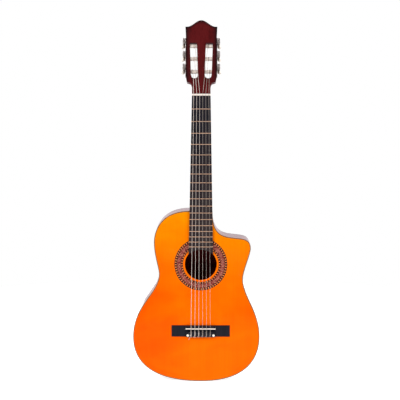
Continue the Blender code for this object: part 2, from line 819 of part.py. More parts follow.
def plate_boss(outward, side, u):
    base = head_point(side * (PLATE_X[0] + 0.0002), u, ROLLER_W + 0.003)
    reach = BOSS_END_X - PLATE_X[0]
    profile = ((0.0, BOSS_RADIUS), (reach - 0.0012, BOSS_RADIUS), (reach, BOSS_RADIUS * 0.6))
    return turned("join", base, outward, profile, 12, "nickel_plate")


def lug_bores(side):
    bores = []
    for u in ROLLER_US:
        base = head_point(side * WORM_X, u + WORM_OFFSET, ROLLER_W - 0.012)
        profile = ((0.0, SHAFT_RADIUS + BORE_GAP), (0.024, SHAFT_RADIUS + BORE_GAP))
        bores.append(turned("cut", base, head_normal(), profile, 12, "nickel_plate"))
    return bores


def make_rollers():
    for number, side, u in machine_names():
        outward = Vector((float(side), 0.0, 0.0))
        base = head_point(side * ROLLER_INNER_X, u, ROLLER_W)
        shoulder = PLATE_X[0] - BORE_GAP - ROLLER_INNER_X
        profile = (
            (0.0, ROLLER_RADIUS),
            (shoulder, ROLLER_RADIUS),
            (shoulder, JOURNAL_RADIUS),
            (JOURNAL_END_X - ROLLER_INNER_X, JOURNAL_RADIUS),
        )
        turned(f"roller_{number}", base, outward, profile, 16, "ivory_plastic")


def make_gears():
    for number, side, u in machine_names():
        outward = Vector((float(side), 0.0, 0.0))
        base = head_point(side * GEAR_X[0], u, ROLLER_W)
        width = GEAR_X[1] - GEAR_X[0]
        rim = ((0.0, GEAR_RADIUS), (width, GEAR_RADIUS))
        gear = turned(f"gear_{number}", base, outward, rim, 28, "brass")
        start = head_point(side * 0.040, u, ROLLER_W)
        profile = ((0.0, JOURNAL_RADIUS + GLUE), (0.02, JOURNAL_RADIUS + GLUE))
        combine(gear, [turned("cut", start, outward, profile, 16, "brass")], "DIFFERENCE")


def button_ring(centre, side, w, swell):
    """One oval slice of a button, across the worm shaft, its outer end turned towards the nut."""
    points = []
    across = math.cos(BUTTON_TURN)
    down = side * math.sin(BUTTON_TURN)
    for k in range(14):
        angle = 2.0 * math.pi * k / 14
        long = BUTTON_HALF_X * swell[0] * math.cos(angle)
        short = BUTTON_HALF_U * swell[1] * math.sin(angle)
        x = centre[0] + long * across + short * down
        u = centre[1] - long * down + short * across
        points.append(head_point(x, u, w))
    return points


def make_buttons():
    length = BUTTON_W[1] - BUTTON_W[0]
    swells = (
        (0.0, (0.34, 0.72)),
        (0.22, (0.74, 0.92)),
        (0.55, (1.0, 1.0)),
        (0.85, (0.90, 0.86)),
        (1.0, (0.5, 0.45)),
    )
    for number, side, u in machine_names():
        centre = (side * WORM_X, u + WORM_OFFSET)
        rings = [button_ring(centre, side, BUTTON_W[0] + length * t, swell) for t, swell in swells]
        button = node_from_bmesh(f"button_{number}", skin(rings), "pearl_plastic")
        combine(button, [worm_shaft(centre)], "UNION")


def worm_shaft(centre):
    """The shaft, its worm between the lugs and its collar behind them."""
    front_w = ROLLER_W + LUG_W + 0.0010
    base = head_point(centre[0], centre[1], front_w)
    worm_start = front_w - (ROLLER_W + WORM_HALF)
    worm_end = front_w - (ROLLER_W - WORM_HALF)
    collar_start = front_w - (ROLLER_W - LUG_W - BORE_GAP)
    collar_end = front_w - BUTTON_W[0] + 0.0015
    profile = (
        (0.0, SHAFT_RADIUS),
        (worm_start, SHAFT_RADIUS),
        (worm_start, WORM_RADIUS),
        (worm_end, WORM_RADIUS),
        (worm_end, SHAFT_RADIUS),
        (collar_start, SHAFT_RADIUS),
        (collar_start, WORM_RADIUS),
        (collar_end, WORM_RADIUS),
    )
    return turned("join", base, -head_normal(), profile, 12, "pearl_plastic")


def main():
    clear_scene()
    make_plates()
    make_walls()
    make_linings()
    make_blocks()
    make_fan_braces()
    make_cross_bars()
    make_bridge_plate()
    make_neck()
    make_headplate()
    make_heel_cap()
    make_fingerboard()
    make_strings()
    make_nut()
    make_bridge()
    make_saddle()
    make_pearl_caps()
    make_tuner_plate("tuner_plate_bass", -1)
    make_tuner_plate("tuner_plate_treble", 1)
    make_rollers()
    make_gears()
    make_buttons()


main()
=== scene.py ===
"""A classical guitar with a cutaway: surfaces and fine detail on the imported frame."""

import json
from math import asin, copysign, cos, degrees, pi, radians, sin, sqrt, tanh, tau

import bmesh
import bpy
from mathutils import Matrix, Vector


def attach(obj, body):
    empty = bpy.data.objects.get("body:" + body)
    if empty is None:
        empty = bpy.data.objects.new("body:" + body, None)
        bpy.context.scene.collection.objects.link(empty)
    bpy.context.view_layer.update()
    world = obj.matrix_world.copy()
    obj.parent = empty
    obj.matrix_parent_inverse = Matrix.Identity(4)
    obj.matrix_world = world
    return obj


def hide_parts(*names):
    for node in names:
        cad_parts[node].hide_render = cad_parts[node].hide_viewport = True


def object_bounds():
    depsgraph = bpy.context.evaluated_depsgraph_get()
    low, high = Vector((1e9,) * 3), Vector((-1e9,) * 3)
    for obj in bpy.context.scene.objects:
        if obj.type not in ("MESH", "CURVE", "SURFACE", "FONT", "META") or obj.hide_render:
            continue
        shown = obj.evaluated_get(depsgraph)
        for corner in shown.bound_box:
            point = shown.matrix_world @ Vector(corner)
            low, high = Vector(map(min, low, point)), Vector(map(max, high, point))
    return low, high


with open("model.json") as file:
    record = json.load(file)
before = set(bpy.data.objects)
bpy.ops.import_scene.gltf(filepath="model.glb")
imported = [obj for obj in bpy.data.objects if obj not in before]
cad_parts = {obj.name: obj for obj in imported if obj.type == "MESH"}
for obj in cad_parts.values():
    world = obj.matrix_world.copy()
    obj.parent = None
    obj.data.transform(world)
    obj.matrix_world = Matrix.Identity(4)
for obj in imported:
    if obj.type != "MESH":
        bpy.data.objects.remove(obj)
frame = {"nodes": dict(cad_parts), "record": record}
NODES = frame["nodes"]
CAD_BOX = [[float(v) for v in corner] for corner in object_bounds()]

# ---- the object's driving sizes, in metres, as in the solid model
SCALE_LENGTH = 0.6235
COMPENSATION = 0.0025
NUT_Z = 0.7725
NUT_THICKNESS = 0.005
SADDLE_Z = NUT_Z - SCALE_LENGTH - COMPENSATION
FRET_COUNT = 18
STRING_COUNT = 6
NUT_PITCH = 0.0080
SADDLE_PITCH = 0.0104
STRING_Y_NUT = -0.0085
STRING_Y_SADDLE = -0.0125
TREBLE_STRING_RADIUS = 0.00036
BASS_STRING_RADIUS = 0.00056

BODY_DEPTH = 0.090
BODY_TOP_Z = 0.465
PLATE_T = 0.0025
SIDE_T = 0.0020
BINDING_W = 0.0022
BINDING_H = 0.0050
GLUE = 0.0001
SEAM = 0.0004
NECK_JOINT_HALF = 0.031
CURVE_STEPS = 26

TAIL_B = (0.0, 0.0, -1.0, 0.0)
LOWER_B = (-0.183, 0.122, 0.0, 1.0)
WAIST_B = (-0.1125, 0.294, 0.0, 1.0)
UPPER_B = (-0.126, 0.3805, 0.0, 1.0)
NECK_B = (-NECK_JOINT_HALF, BODY_TOP_Z, 1.0, 0.0)
TAIL_T = (0.0, 0.0, 1.0, 0.0)
LOWER_T = (0.1595, 0.1235, 0.0, 1.0)
WAIST_T = (0.1135, 0.282, 0.0, 1.0)
HORN_T = (0.134, 0.364, 0.0, 1.0)
HORN_TIP = (0.1055, 0.391, -1.0, 0.12)
NECK_T = (NECK_JOINT_HALF, BODY_TOP_Z, 0.0, 1.0)
BASS_EDGE = (
    (TAIL_B, LOWER_B, 0.57, 0.34),
    (LOWER_B, WAIST_B, 0.47, 0.28),
    (WAIST_B, UPPER_B, 0.18, 0.42),
    (UPPER_B, NECK_B, 0.25, 0.60),
)
TREBLE_EDGE = (
    (TAIL_T, LOWER_T, 0.72, 0.20),
    (LOWER_T, WAIST_T, 0.42, 0.29),
    (WAIST_T, HORN_T, 0.24, 0.19),
    (HORN_T, HORN_TIP, 0.38, 0.60),
    (HORN_TIP, NECK_T, 0.40, 0.69),
)

HOLE_Z = 0.3213
HOLE_RADIUS = 0.0430
ROSETTE_INNER = 0.048
ROSETTE_OUTER = 0.0712
ROSETTE_T = 0.0008
INNER_TILES = 0.0512
OUTER_TILES = 0.0677
ROSE_CHAIN = 0.0590

BOARD_T = 0.0062
BOARD_W_NUT = 0.0495
BOARD_TAPER = 0.0382
BOARD_ARCH_Z = 0.3613
BOARD_ARCH_R = 0.0494
FRET_H = 0.0009
FRET_HALF_FOOT = 0.0010

HEAD_TILT = radians(12.0)
HEAD_ORIGIN = Vector((0.0, -0.0021, NUT_Z + NUT_THICKNESS + 0.0002))
HEAD_NORMAL = Vector((0.0, -cos(HEAD_TILT), sin(HEAD_TILT)))
HEAD_UP = Vector((0.0, sin(HEAD_TILT), cos(HEAD_TILT)))
ACROSS = Vector((1.0, 0.0, 0.0))
SLOT_OUTER_X = 0.034
SLOT_BOTTOM_W = -0.0185
ROLLER_US = (0.0618, 0.0968, 0.1318)
ROLLER_W = -0.011
ROLLER_RADIUS = 0.005
ROLLER_INNER_X = 0.0068
ROLLER_END_X = 0.0410
JOURNAL_RADIUS = 0.0021
WORM_X = 0.0459
WORM_OFFSET = 0.0082
WORM_RADIUS = 0.0027
WORM_HALF = 0.0065
SHAFT_RADIUS = 0.0016
GEAR_RADIUS = 0.0052
GEAR_X = (0.0440, 0.0478)
GEAR_TEETH = 14
PLATE_X = (0.0413, 0.0425)
PLATE_U = (0.0456, 0.1538)
PLATE_HALF_W = 0.0078
LUG_T = 0.0014
LUG_W = 0.0086
LUG_HALF_U = 0.0043
LUG_END_X = 0.0500
BOSS_RADIUS = 0.0030
BOSS_END_X = 0.0496
BUTTON_W = (-0.0290, -0.0470)
BUTTON_HALF_X = 0.0100
BUTTON_HALF_U = 0.0045
BUTTON_TURN = radians(55.0)
STRING_LANES = (0.0215, 0.0180, 0.0170)
WINDING_TURNS = (4, 4, 5)

NUT_TOP_Y = -0.0092
NOTCH = ((-1.25, 0.0), (-1.0, 0.55), (-0.6, 0.9), (0.0, 1.0), (0.6, 0.9), (1.0, 0.55), (1.25, 0.0))
SADDLE_HALF = 0.0405
SADDLE_T = 0.0025
SADDLE_TOP_Y = -0.0113
SADDLE_FOOT_Y = -0.0035
WING_HALF = 0.0788
WING_Z = (0.1245, 0.1545)
WING_H = 0.0036
BLOCK_HALF = 0.0405
BLOCK_TOP_Y = -0.0080
TIE_Z = (0.1232, 0.1380)
TIE_HALF = 0.0388
TIE_TOP_Y = -0.0088
TROUGH_Z = 0.1430
TIE_HOLE_Y = -0.0050
CAP_RADIUS = 0.0034
CAP_T = 0.0008
CAP_X = 0.0347
CAP_Z = 0.1282

# ---- the picture's own settings
LENS = 87.5
CAMERA_AIM = (-0.00265, 0.0, 0.495)
CAMERA_RISE = radians(5.3)
CAMERA_ROLL = radians(0.14)
CAMERA_DISTANCE = 2.6
LIGHT_AIM = (0.0, 0.0, 0.45)
# name, place, size and power of each soft light
LIGHTS = (
    ("key", (-1.7, -1.9, 2.1), (1.3, 1.3), 62.0),
    ("fill", (1.9, -1.8, 1.8), (1.5, 1.5), 46.0),
    ("back_left", (-2.0, 1.6, 1.6), (1.2, 1.6), 40.0),
    ("back_right", (2.0, 1.7, 1.4), (1.2, 1.6), 40.0),
)
FLOOR_RADIUS = 1.6
MAHOGANY = (0.085, 0.012, 0.008)
MAHOGANY_LIGHT = (0.15, 0.028, 0.016)
VENEER = (0.084, 0.0050, 0.0060)
VENEER_LIGHT = (0.104, 0.008, 0.009)


# ---- shader helpers
class Nodes:
    """Short calls for building a node tree."""

    def __init__(self, tree, coordinates):
        self.tree = tree
        self.place = tree.nodes.new("ShaderNodeTexCoord").outputs[coordinates]

    def node(self, kind, inputs=None, **settings):
        made = self.tree.nodes.new(kind)
        for key, value in settings.items():
            setattr(made, key, value)
        for key, value in (inputs or {}).items():
            self.feed(made.inputs[key], value)
        return made

    def feed(self, socket, value):
        if isinstance(value, bpy.types.NodeSocket):
            self.tree.links.new(value, socket)
        else:
            socket.default_value = value

    def math(self, operation, first, second=0.0, third=0.0):
        made = self.node("ShaderNodeMath", {0: first, 1: second, 2: third}, operation=operation)
        return made.outputs[0]

    def times(self, first, second):
        return self.math("MULTIPLY", first, second)

    def plus(self, first, second):
        return self.math("ADD", first, second)

    def minus(self, first, second):
        return self.math("SUBTRACT", first, second)

    def above(self, value, limit):
        return self.math("GREATER_THAN", value, limit)

    def below(self, value, limit):
        return self.math("LESS_THAN", value, limit)

    def noise(self, scale, detail=3.0, rough=0.5, distortion=0.0, vector=None):
        wanted = {"Vector": vector or self.place, "Scale": scale, "Detail": detail}
        wanted.update({"Roughness": rough, "Distortion": distortion})
        return self.node("ShaderNodeTexNoise", wanted).outputs["Fac"]

    def grain(self, scales, detail=3.0, rough=0.5, distortion=0.0):
        """Noise with its own scale along each axis."""
        wanted = {"Vector": self.place, "Scale": scales}
        stretched = self.node("ShaderNodeMapping", wanted).outputs["Vector"]
        return self.noise(1.0, detail, rough, distortion, stretched)

    def ramp(self, factor, *stops):
        """Colours at places from 0 to 1, each stop a (place, colour) pair."""
        made = self.node("ShaderNodeValToRGB", {"Fac": factor})
        band = made.color_ramp
        while len(band.elements) < len(stops):
            band.elements.new(0.5)
        for element, (place, colour) in zip(band.elements, stops):
            element.position = place
            element.color = (*colour, 1.0)
        return made.outputs["Color"]

    def spread(self, value, low, high, new_low=0.0, new_high=1.0, **settings):
        wanted = {"Value": value, "From Min": low, "From Max": high}
        wanted.update({"To Min": new_low, "To Max": new_high})
        return self.node("ShaderNodeMapRange", wanted, **settings).outputs["Result"]

    def blend(self, factor, first, second, how="MIX"):
        made = self.node("ShaderNodeMix", data_type="RGBA", blend_type=how)
        self.feed(made.inputs[0], factor)
        for socket, value in ((made.inputs[6], first), (made.inputs[7], second)):
            self.feed(socket, value if isinstance(value, bpy.types.NodeSocket) else (*value, 1.0))
        return made.outputs[2]

    def axes(self):
        parts = self.node("ShaderNodeSeparateXYZ", {"Vector": self.place})
        return parts.outputs["X"], parts.outputs["Y"], parts.outputs["Z"]


class Shader(Nodes):
    """A Principled material, its uniform values given by socket name."""

    def __init__(self, name, **sockets):
        self.name = name
        self.material = bpy.data.materials.new(name)
        self.material.use_nodes = True
        super().__init__(self.material.node_tree, "Object")
        self.main = self.tree.nodes["Principled BSDF"]
        for key, value in sockets.items():
            self.main.inputs[key.replace("_", " ")].default_value = value

    def bump(self, height, strength, distance):
        wanted = {"Height": height, "Strength": strength, "Distance": distance}
        self.feed(self.main.inputs["Normal"], self.node("ShaderNodeBump", wanted).outputs["Normal"])

    def colour(self, value):
        self.feed(self.main.inputs["Base Color"], value)

    def rough(self, value):
        self.feed(self.main.inputs["Roughness"], value)


def dress(name, shader):
    """Gives a carried-over CAD node its finish."""
    for slot in NODES[name].material_slots:
        slot.material = shader.material


# ---- woods
def orange_lacquer():
    """Orange-stained spruce under lacquer, with painted shade: yellower at the neck and redder
    towards the tail; also redder at the lower left.
    """
    gloss = {"Specular_IOR_Level": 0.30, "Specular_Tint": (1.0, 0.18, 0.0, 1.0)}
    s = Shader("orange_lacquer", Roughness=0.36, Coat_Weight=0.03, Coat_Roughness=0.08, **gloss)
    x, _, z = s.axes()
    # painted shade: the orange turns from yellower at the neck to redder and darker at the tail
    stain_and_shade = s.ramp(
        s.spread(z, 0.20, 0.465),
        (0.0, (0.93, 0.146, 0.0001)),
        (0.30, (0.94, 0.150, 0.0001)),
        (0.55, (0.95, 0.186, 0.0002)),
        (0.80, (0.96, 0.236, 0.0003)),
        (1.0, (0.97, 0.280, 0.0004)),
    )
    low = s.spread(z, 0.42, 0.22)
    left = s.times(s.spread(x, -0.02, -0.13), 0.32)
    right = s.times(s.spread(x, 0.04, 0.15), 0.13)
    sides = s.times(s.plus(left, right), low)
    cloud = s.grain((9.0, 9.0, 14.0), 3.0, 0.55, 0.4)
    redder = s.plus(sides, s.spread(cloud, 0.35, 0.65, -0.08, 0.16))
    stain_and_shade = s.blend(redder, stain_and_shade, (0.93, 0.0, 0.0))
    fine = s.grain((900.0, 900.0, 9.0), 3.0, 0.6)
    wide = s.grain((160.0, 160.0, 2.5), 2.0)
    grain = s.plus(s.times(fine, 0.6), s.times(wide, 0.4))
    lines = s.ramp(grain, (0.30, (0.92, 0.86, 0.80)), (0.62, (1.0, 1.0, 1.0)))
    s.colour(s.blend(1.0, stain_and_shade, lines, "MULTIPLY"))
    s.bump(s.grain((60.0, 60.0, 12.0), 2.0), 0.04, 0.0004)
    return s


def stained_mahogany(
    name, coat, darken=None, shade=(0.006, 0.003, 0.004), base=MAHOGANY, light=MAHOGANY_LIGHT
):
    """Open-grained hardwood under a deep gloss, its grain upright."""
    gloss = 0.06 + 0.44 * coat
    s = Shader(
        name, Roughness=0.40, Coat_Weight=coat, Coat_Roughness=0.10, Specular_IOR_Level=gloss
    )
    scale = (420.0, 420.0, 14.0)
    pores = s.grain(scale, 4.0, 0.65)
    figure = s.grain((55.0, 55.0, 3.0), 3.0, 0.5, 0.6)
    mixed = s.plus(s.times(pores, 0.45), s.times(figure, 0.55))
    dark = tuple(v * 0.5 for v in base)
    tone = s.ramp(mixed, (0.32, dark), (0.50, base), (0.70, light))
    if darken is not None:
        tone = s.blend(darken(s), tone, shade)
    s.colour(tone)
    s.bump(s.grain(tuple(v * 0.25 for v in scale), 2.0), 0.05, 0.0003)
    return s


def inside_face(s):
    """1 on the back panel's inner face and 0 on its outer one."""
    _, y, _ = s.axes()
    inside = s.below(y, BODY_DEPTH - 0.6 * PLATE_T)
    s.feed(s.main.inputs["Coat Weight"], s.minus(1.0, inside))
    s.feed(s.main.inputs["Specular IOR Level"], s.math("MULTIPLY_ADD", inside, -0.48, 0.5))
    return inside


def slot_walls(s):
    """1 on the walls and ramps of the headstock's slots, which take no gloss."""
    x, y, z = s.axes()
    offset = HEAD_ORIGIN.y * cos(HEAD_TILT) - HEAD_ORIGIN.z * sin(HEAD_TILT)
    depth = s.math("MULTIPLY_ADD", z, sin(HEAD_TILT), offset)
    height = s.math("MULTIPLY_ADD", y, -cos(HEAD_TILT), depth)
    inside = s.below(s.math("ABSOLUTE", x), SLOT_OUTER_X)
    front = s.above(height, SLOT_BOTTOM_W)
    above = s.above(z, NUT_Z + 0.010)
    walls = s.times(s.times(inside, front), above)
    s.feed(s.main.inputs["Coat Weight"], s.spread(walls, 0.0, 1.0, 0.7, 0.0))
    s.feed(s.main.inputs["Specular IOR Level"], s.spread(walls, 0.0, 1.0, 0.4, 0.05))
    return walls


def edge_burst(s):
    """How dark the headstock's face is, from its middle to its sides and crest."""
    x, _, z = s.axes()
    wobble = s.times(s.grain((40.0, 40.0, 40.0), 2.0), 0.006)
    edge = s.plus(s.math("ABSOLUTE", x), wobble)
    sides = s.spread(edge, 0.030, 0.0455)
    curve = s.times(s.math("COSINE", s.times(x, 60.0)), 0.012)
    top = s.spread(s.minus(z, curve), 0.950, 0.962)
    return s.math("MAXIMUM", sides, top)


def shade_darkened_spruce():
    # painted shade: this bare spruce is darker than the wood is, standing in for the shade inside
    # the body
    s = Shader("bare_spruce", Roughness=0.8)
    lines = s.grain((500.0, 500.0, 12.0), 3.0)
    s.colour(s.ramp(lines, (0.3, (0.16, 0.075, 0.040)), (0.7, (0.26, 0.14, 0.080))))
    return s


def black_hardwood(name, rough, glow, painted_sheen=None):
    """Black-stained hardwood with fine open pores; a painted sheen, where given, makes it lighter
    and greyer towards the body end and the treble side.
    """
    s = Shader(name, Roughness=rough, Specular_IOR_Level=0.12)
    pores = s.grain((1400.0, 1400.0, 60.0), 3.0, 0.7)
    streak = s.grain((220.0, 220.0, 8.0), 2.0)
    mixed = s.plus(s.times(pores, 0.5), s.times(streak, 0.5))
    dark, light = (tuple(v * share for v in glow) for share in (0.55, 1.4))
    tone = s.ramp(mixed, (0.35, dark), (0.65, light))
    if painted_sheen is not None:
        # painted sheen: a lighter colour blended in towards the body end and the treble side,
        # broken up by the streaks
        x, _, z = s.axes()
        along = s.math("MULTIPLY_ADD", x, -1.6, z)
        lower = s.spread(along, 0.68, 0.36)
        share = s.times(lower, s.spread(streak, 0.3, 0.6, 0.55, 1.0))
        tone = s.blend(share, tone, painted_sheen)
    s.colour(tone)
    s.rough(s.spread(pores, 0.3, 0.7, rough - 0.08, rough + 0.12))
    s.bump(pores, 0.2, 0.00015)
    return s


def rosette_mosaic():
    """Rings of small tiles round the soundhole: chequers, a rose chain and a dark rim."""
    s = Shader("rosette_mosaic", Roughness=0.45, Specular_IOR_Level=0.06)
    x, _, z = s.axes()
    up = s.minus(z, HOLE_Z)
    radius = s.math("SQRT", s.plus(s.times(x, x), s.times(up, up)))
    turn = s.math("ARCTAN2", up, x)
    dark = (0.012, 0.009, 0.011)
    check = s.blend(tile_row(s, radius, turn, INNER_TILES, 46), dark, (0.66, 0.20, 0.06))
    outer = s.blend(tile_row(s, radius, turn, OUTER_TILES, 64), dark, (0.66, 0.21, 0.06))
    petals = s.math("COSINE", s.times(turn, 28.0))
    middle = s.math("ABSOLUTE", s.minus(radius, ROSE_CHAIN))
    flower = s.above(s.math("MULTIPLY_ADD", petals, 0.0016, 0.0038), middle)
    chance = tile_chance(s, radius, turn)
    rose = s.ramp(
        chance,
        (0.0, (0.07, 0.006, 0.008)),
        (0.35, (0.21, 0.024, 0.024)),
        (0.65, (0.32, 0.07, 0.05)),
        (0.90, (0.46, 0.22, 0.14)),
    )
    around = s.ramp(
        chance,
        (0.0, (0.05, 0.008, 0.008)),
        (0.5, (0.17, 0.018, 0.018)),
        (0.9, (0.30, 0.09, 0.06)),
    )
    tone = s.blend(s.above(radius, 0.0652), s.blend(flower, around, rose), outer)
    tone = s.blend(s.above(radius, 0.0528), check, tone)
    lines = s.below(s.math("ABSOLUTE", s.minus(middle, 0.0062)), 0.0004)
    rim = s.above(radius, 0.0704)
    inner = s.below(radius, 0.0484)
    edges = s.math("MAXIMUM", lines, s.math("MAXIMUM", rim, inner))
    s.colour(s.blend(edges, tone, (0.022, 0.008, 0.008)))
    return s


def tile_row(s, radius, turn, middle, count):
    """A ring of light tiles, 1 on them and 0 on the wider dark gaps between."""
    share = s.math("FRACT", s.times(turn, 0.5 * count / pi))
    offset = s.math("ABSOLUTE", s.minus(radius, middle))
    return s.times(s.below(share, 0.42), s.below(offset, 0.0020))


def tile_chance(s, radius, turn):
    """A number from 0 to 1 that differs from one small tile to the next."""
    ring = s.math("FLOOR", s.math("DIVIDE", radius, 0.0012))
    step = s.math("FLOOR", s.times(turn, 46.0))
    cell = s.node("ShaderNodeCombineXYZ", {"X": ring, "Y": step}).outputs["Vector"]
    made = s.node("ShaderNodeTexWhiteNoise", {"Vector": cell}, noise_dimensions="2D")
    return made.outputs["Value"]


# ---- plastics and metals
def ivory():
    tint = (0.90, 0.81, 0.73)
    depths = (0.0020, 0.0014, 0.0010)
    s = Shader(
        "ivory_plastic", Roughness=0.32, Subsurface_Weight=0.12, Subsurface_Radius=depths
    )
    streak = s.grain((300.0, 300.0, 900.0), 3.0)
    s.colour(s.ramp(streak, (0.3, tuple(v * 0.9 for v in tint)), (0.7, tint)))
    s.rough(s.spread(s.noise(220.0), 0.3, 0.7, 0.25, 0.42))
    return s


def pearl():
    """Marbled pearl plastic with soft bright flakes."""
    s = Shader("pearl_plastic", Roughness=0.24, Coat_Weight=0.6, Coat_Roughness=0.05)
    swirl = s.noise(190.0, 4.0, 0.6, 2.2)
    dull, plain, bright = (0.46, 0.41, 0.33), (0.80, 0.75, 0.64), (0.92, 0.88, 0.80)
    s.colour(s.ramp(swirl, (0.30, dull), (0.48, plain), (0.68, bright)))
    s.bump(swirl, 0.12, 0.0002)
    return s


def metal(name, tint, rough, pure=1.0):
    s = Shader(name, Metallic=pure, Roughness=rough)
    smear = s.noise(160.0, 4.0, 0.65)
    s.colour(s.ramp(smear, (0.30, tuple(v * 0.72 for v in tint)), (0.62, tint)))
    s.rough(s.spread(smear, 0.3, 0.7, rough - 0.06, rough + 0.10))
    return s


def winding_metal():
    """Silver wire wound tightly round a string's core."""
    s = Shader("wound_silver", Metallic=0.35, Roughness=0.42)
    _, _, z = s.axes()
    coil = s.math("SINE", s.times(z, 20000.0))
    s.colour(s.ramp(s.noise(400.0), (0.3, (0.60, 0.52, 0.47)), (0.7, (0.80, 0.70, 0.63))))
    s.bump(coil, 0.4, 0.0001)
    return s


def nylon():
    s = Shader("clear_nylon", Roughness=0.16, Transmission_Weight=0.6, IOR=1.5)
    s.colour(s.ramp(s.noise(300.0), (0.3, (0.78, 0.68, 0.60)), (0.7, (0.94, 0.84, 0.76))))
    return s


def binding_plastic(name, tint):
    """A thin strip of brown plastic, a little uneven in tone."""
    s = Shader(name, Roughness=0.5, Specular_IOR_Level=0.25)
    dark, light = (tuple(v * share for v in tint) for share in (0.8, 1.2))
    s.colour(s.ramp(s.noise(120.0), (0.3, dark), (0.7, light)))
    return s


# ---- camera, floor and light
def set_camera():
    data = bpy.data.cameras.new("camera")
    data.lens = LENS
    data.sensor_width = 36.0
    data.clip_end = 100.0
    camera = bpy.data.objects.new("camera", data)
    bpy.context.scene.collection.objects.link(camera)
    aim = Vector(CAMERA_AIM)
    away = Vector((0.0, -cos(CAMERA_RISE), sin(CAMERA_RISE)))
    camera.location = aim + away * CAMERA_DISTANCE
    facing = (aim - camera.location).to_track_quat("-Z", "Y")
    roll = Matrix.Rotation(CAMERA_ROLL, 3, "Z").to_quaternion()
    camera.rotation_euler = (facing @ roll).to_euler()
    bpy.context.scene.camera = camera


def soft_box(name, place, size, power):
    data = bpy.data.lights.new(name, "AREA")
    data.shape = "RECTANGLE"
    data.size, data.size_y = size
    data.energy = power
    light = bpy.data.objects.new(name, data)
    bpy.context.scene.collection.objects.link(light)
    light.location = place
    toward = Vector(LIGHT_AIM) - light.location
    light.rotation_euler = toward.to_track_quat("-Z", "Y").to_euler()


def set_floor():
    shader = Shader(
        "pale_floor",
        Roughness=0.9,
        Specular_IOR_Level=0.0,
        Emission_Color=(1.0, 1.0, 1.0, 1.0),
        Emission_Strength=0.82,
    )
    speck = shader.noise(40.0, 2.0)
    shader.colour(shader.ramp(speck, (0.3, (0.50, 0.50, 0.50)), (0.7, (0.54, 0.54, 0.54))))
    mesh = bmesh.new()
    bmesh.ops.create_circle(mesh, cap_ends=True, segments=96, radius=FLOOR_RADIUS)
    floor = link_mesh("floor", mesh, shader)
    floor.location.z = CAD_BOX[0][2] - 0.0005


def set_world():
    """White to the eye; to the surfaces bright behind and overhead and dark in front."""
    world = bpy.data.worlds.new("studio")
    bpy.context.scene.world = world
    world.use_nodes = True
    s = Nodes(world.node_tree, "Generated")
    _, y, z = s.axes()
    eye = s.node("ShaderNodeLightPath").outputs["Is Camera Ray"]
    rear = s.spread(y, 0.0, 0.5, interpolation_type="SMOOTHSTEP")
    overhead = s.spread(z, 0.55, 0.9, interpolation_type="SMOOTHSTEP")
    behind = s.blend(rear, (0.05, 0.05, 0.055), (0.78, 0.66, 0.70))
    above = s.blend(overhead, (0.0, 0.0, 0.0), (0.6, 0.6, 0.6))
    seen = s.blend(eye, s.blend(1.0, behind, above, "LIGHTEN"), (1.0, 1.0, 1.0))
    s.feed(s.tree.nodes["Background"].inputs["Color"], seen)


def set_lights():
    for name, place, size, power in LIGHTS:
        soft_box(name, place, size, power)


# ---- mesh helpers
def link_mesh(name, bm, shader, sharp=35.0):
    bmesh.ops.remove_doubles(bm, verts=bm.verts, dist=1e-7)
    bmesh.ops.recalc_face_normals(bm, faces=bm.faces)
    mesh = bpy.data.meshes.new(name)
    bm.to_mesh(mesh)
    bm.free()
    mesh.materials.append(shader.material)
    mesh.shade_smooth()
    mesh.set_sharp_from_angle(angle=radians(sharp))
    piece = bpy.data.objects.new(name, mesh)
    bpy.context.scene.collection.objects.link(piece)
    return piece


def fit(piece, shader, *nodes, body="guitar"):
    """Puts a piece on its body and hides the solids it stands for."""
    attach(piece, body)
    if nodes:
        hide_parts(*nodes)


def add(name, bm, shader, sharp, *nodes, body="guitar"):
    fit(link_mesh(name, bm, shader, sharp), shader, *nodes, body=body)


def skin(rings):
    """A closed bmesh skinned over rings of points that all have the same count."""
    bm = bmesh.new()
    loops = [[bm.verts.new(point) for point in ring] for ring in rings]
    count = len(rings[0])
    for near, far in zip(loops, loops[1:]):
        for i in range(count):
            j = (i + 1) % count
            bm.faces.new((near[i], near[j], far[j], far[i]))
    bm.faces.new(reversed(loops[0]))
    bm.faces.new(loops[-1])
    return bm


def bar(stations, section):
    """A bar along X; section gives the (y, z) corners at each (x, value) station."""
    return skin([[Vector((x, y, z)) for y, z in section(value)] for x, value in stations])


def side_axes(axis):
    helper = Vector((0.0, 0.0, 1.0)) if abs(axis.z) < 0.9 else Vector((1.0, 0.0, 0.0))
    first = axis.cross(helper).normalized()
    return first, axis.cross(first).normalized()


def spokes(first, second, steps):
    """Unit vectors round a circle, each with its angle."""
    turns = [tau * k / steps for k in range(steps)]
    return [(a, first * cos(a) + second * sin(a)) for a in turns]


def turned(base, axis, profile, steps=40):
    """A solid turned about an axis; profile is (distance along, radius) pairs."""
    round_it = spokes(*side_axes(axis), steps)
    return skin([[base + axis * d + spoke * r for _, spoke in round_it] for d, r in profile])


def smooth_path(points, steps):
    """Points along a smooth curve that passes through each given point."""
    route = []
    for i in range(len(points) - 1):
        before = points[max(i - 1, 0)]
        start, end = points[i], points[i + 1]
        after = points[min(i + 2, len(points) - 1)]
        reach = (end - start).length
        leave = (end - before).normalized() * reach
        arrive = (after - start).normalized() * reach
        for k in range(steps):
            t = k / steps
            cube = 2 * t**3 - 3 * t * t + 1
            route.append(
                start * cube
                + leave * (t**3 - 2 * t * t + t)
                + end * (1.0 - cube)
                + arrive * (t**3 - t * t)
            )
    route.append(points[-1])
    return route


def tube(path, radius, sides=12):
    """A round tube along a path, its rings carried along without twisting."""
    rings = []
    along = (path[1] - path[0]).normalized()
    side = side_axes(along)[0]
    for i, point in enumerate(path):
        ahead = path[min(i + 1, len(path) - 1)] - path[max(i - 1, 0)]
        along = ahead.normalized()
        side = (side - along * side.dot(along)).normalized()
        up = along.cross(side)
        turns = [tau * k / sides for k in range(sides)]
        rings.append([point + (side * cos(a) + up * sin(a)) * radius for a in turns])
    return skin(rings)


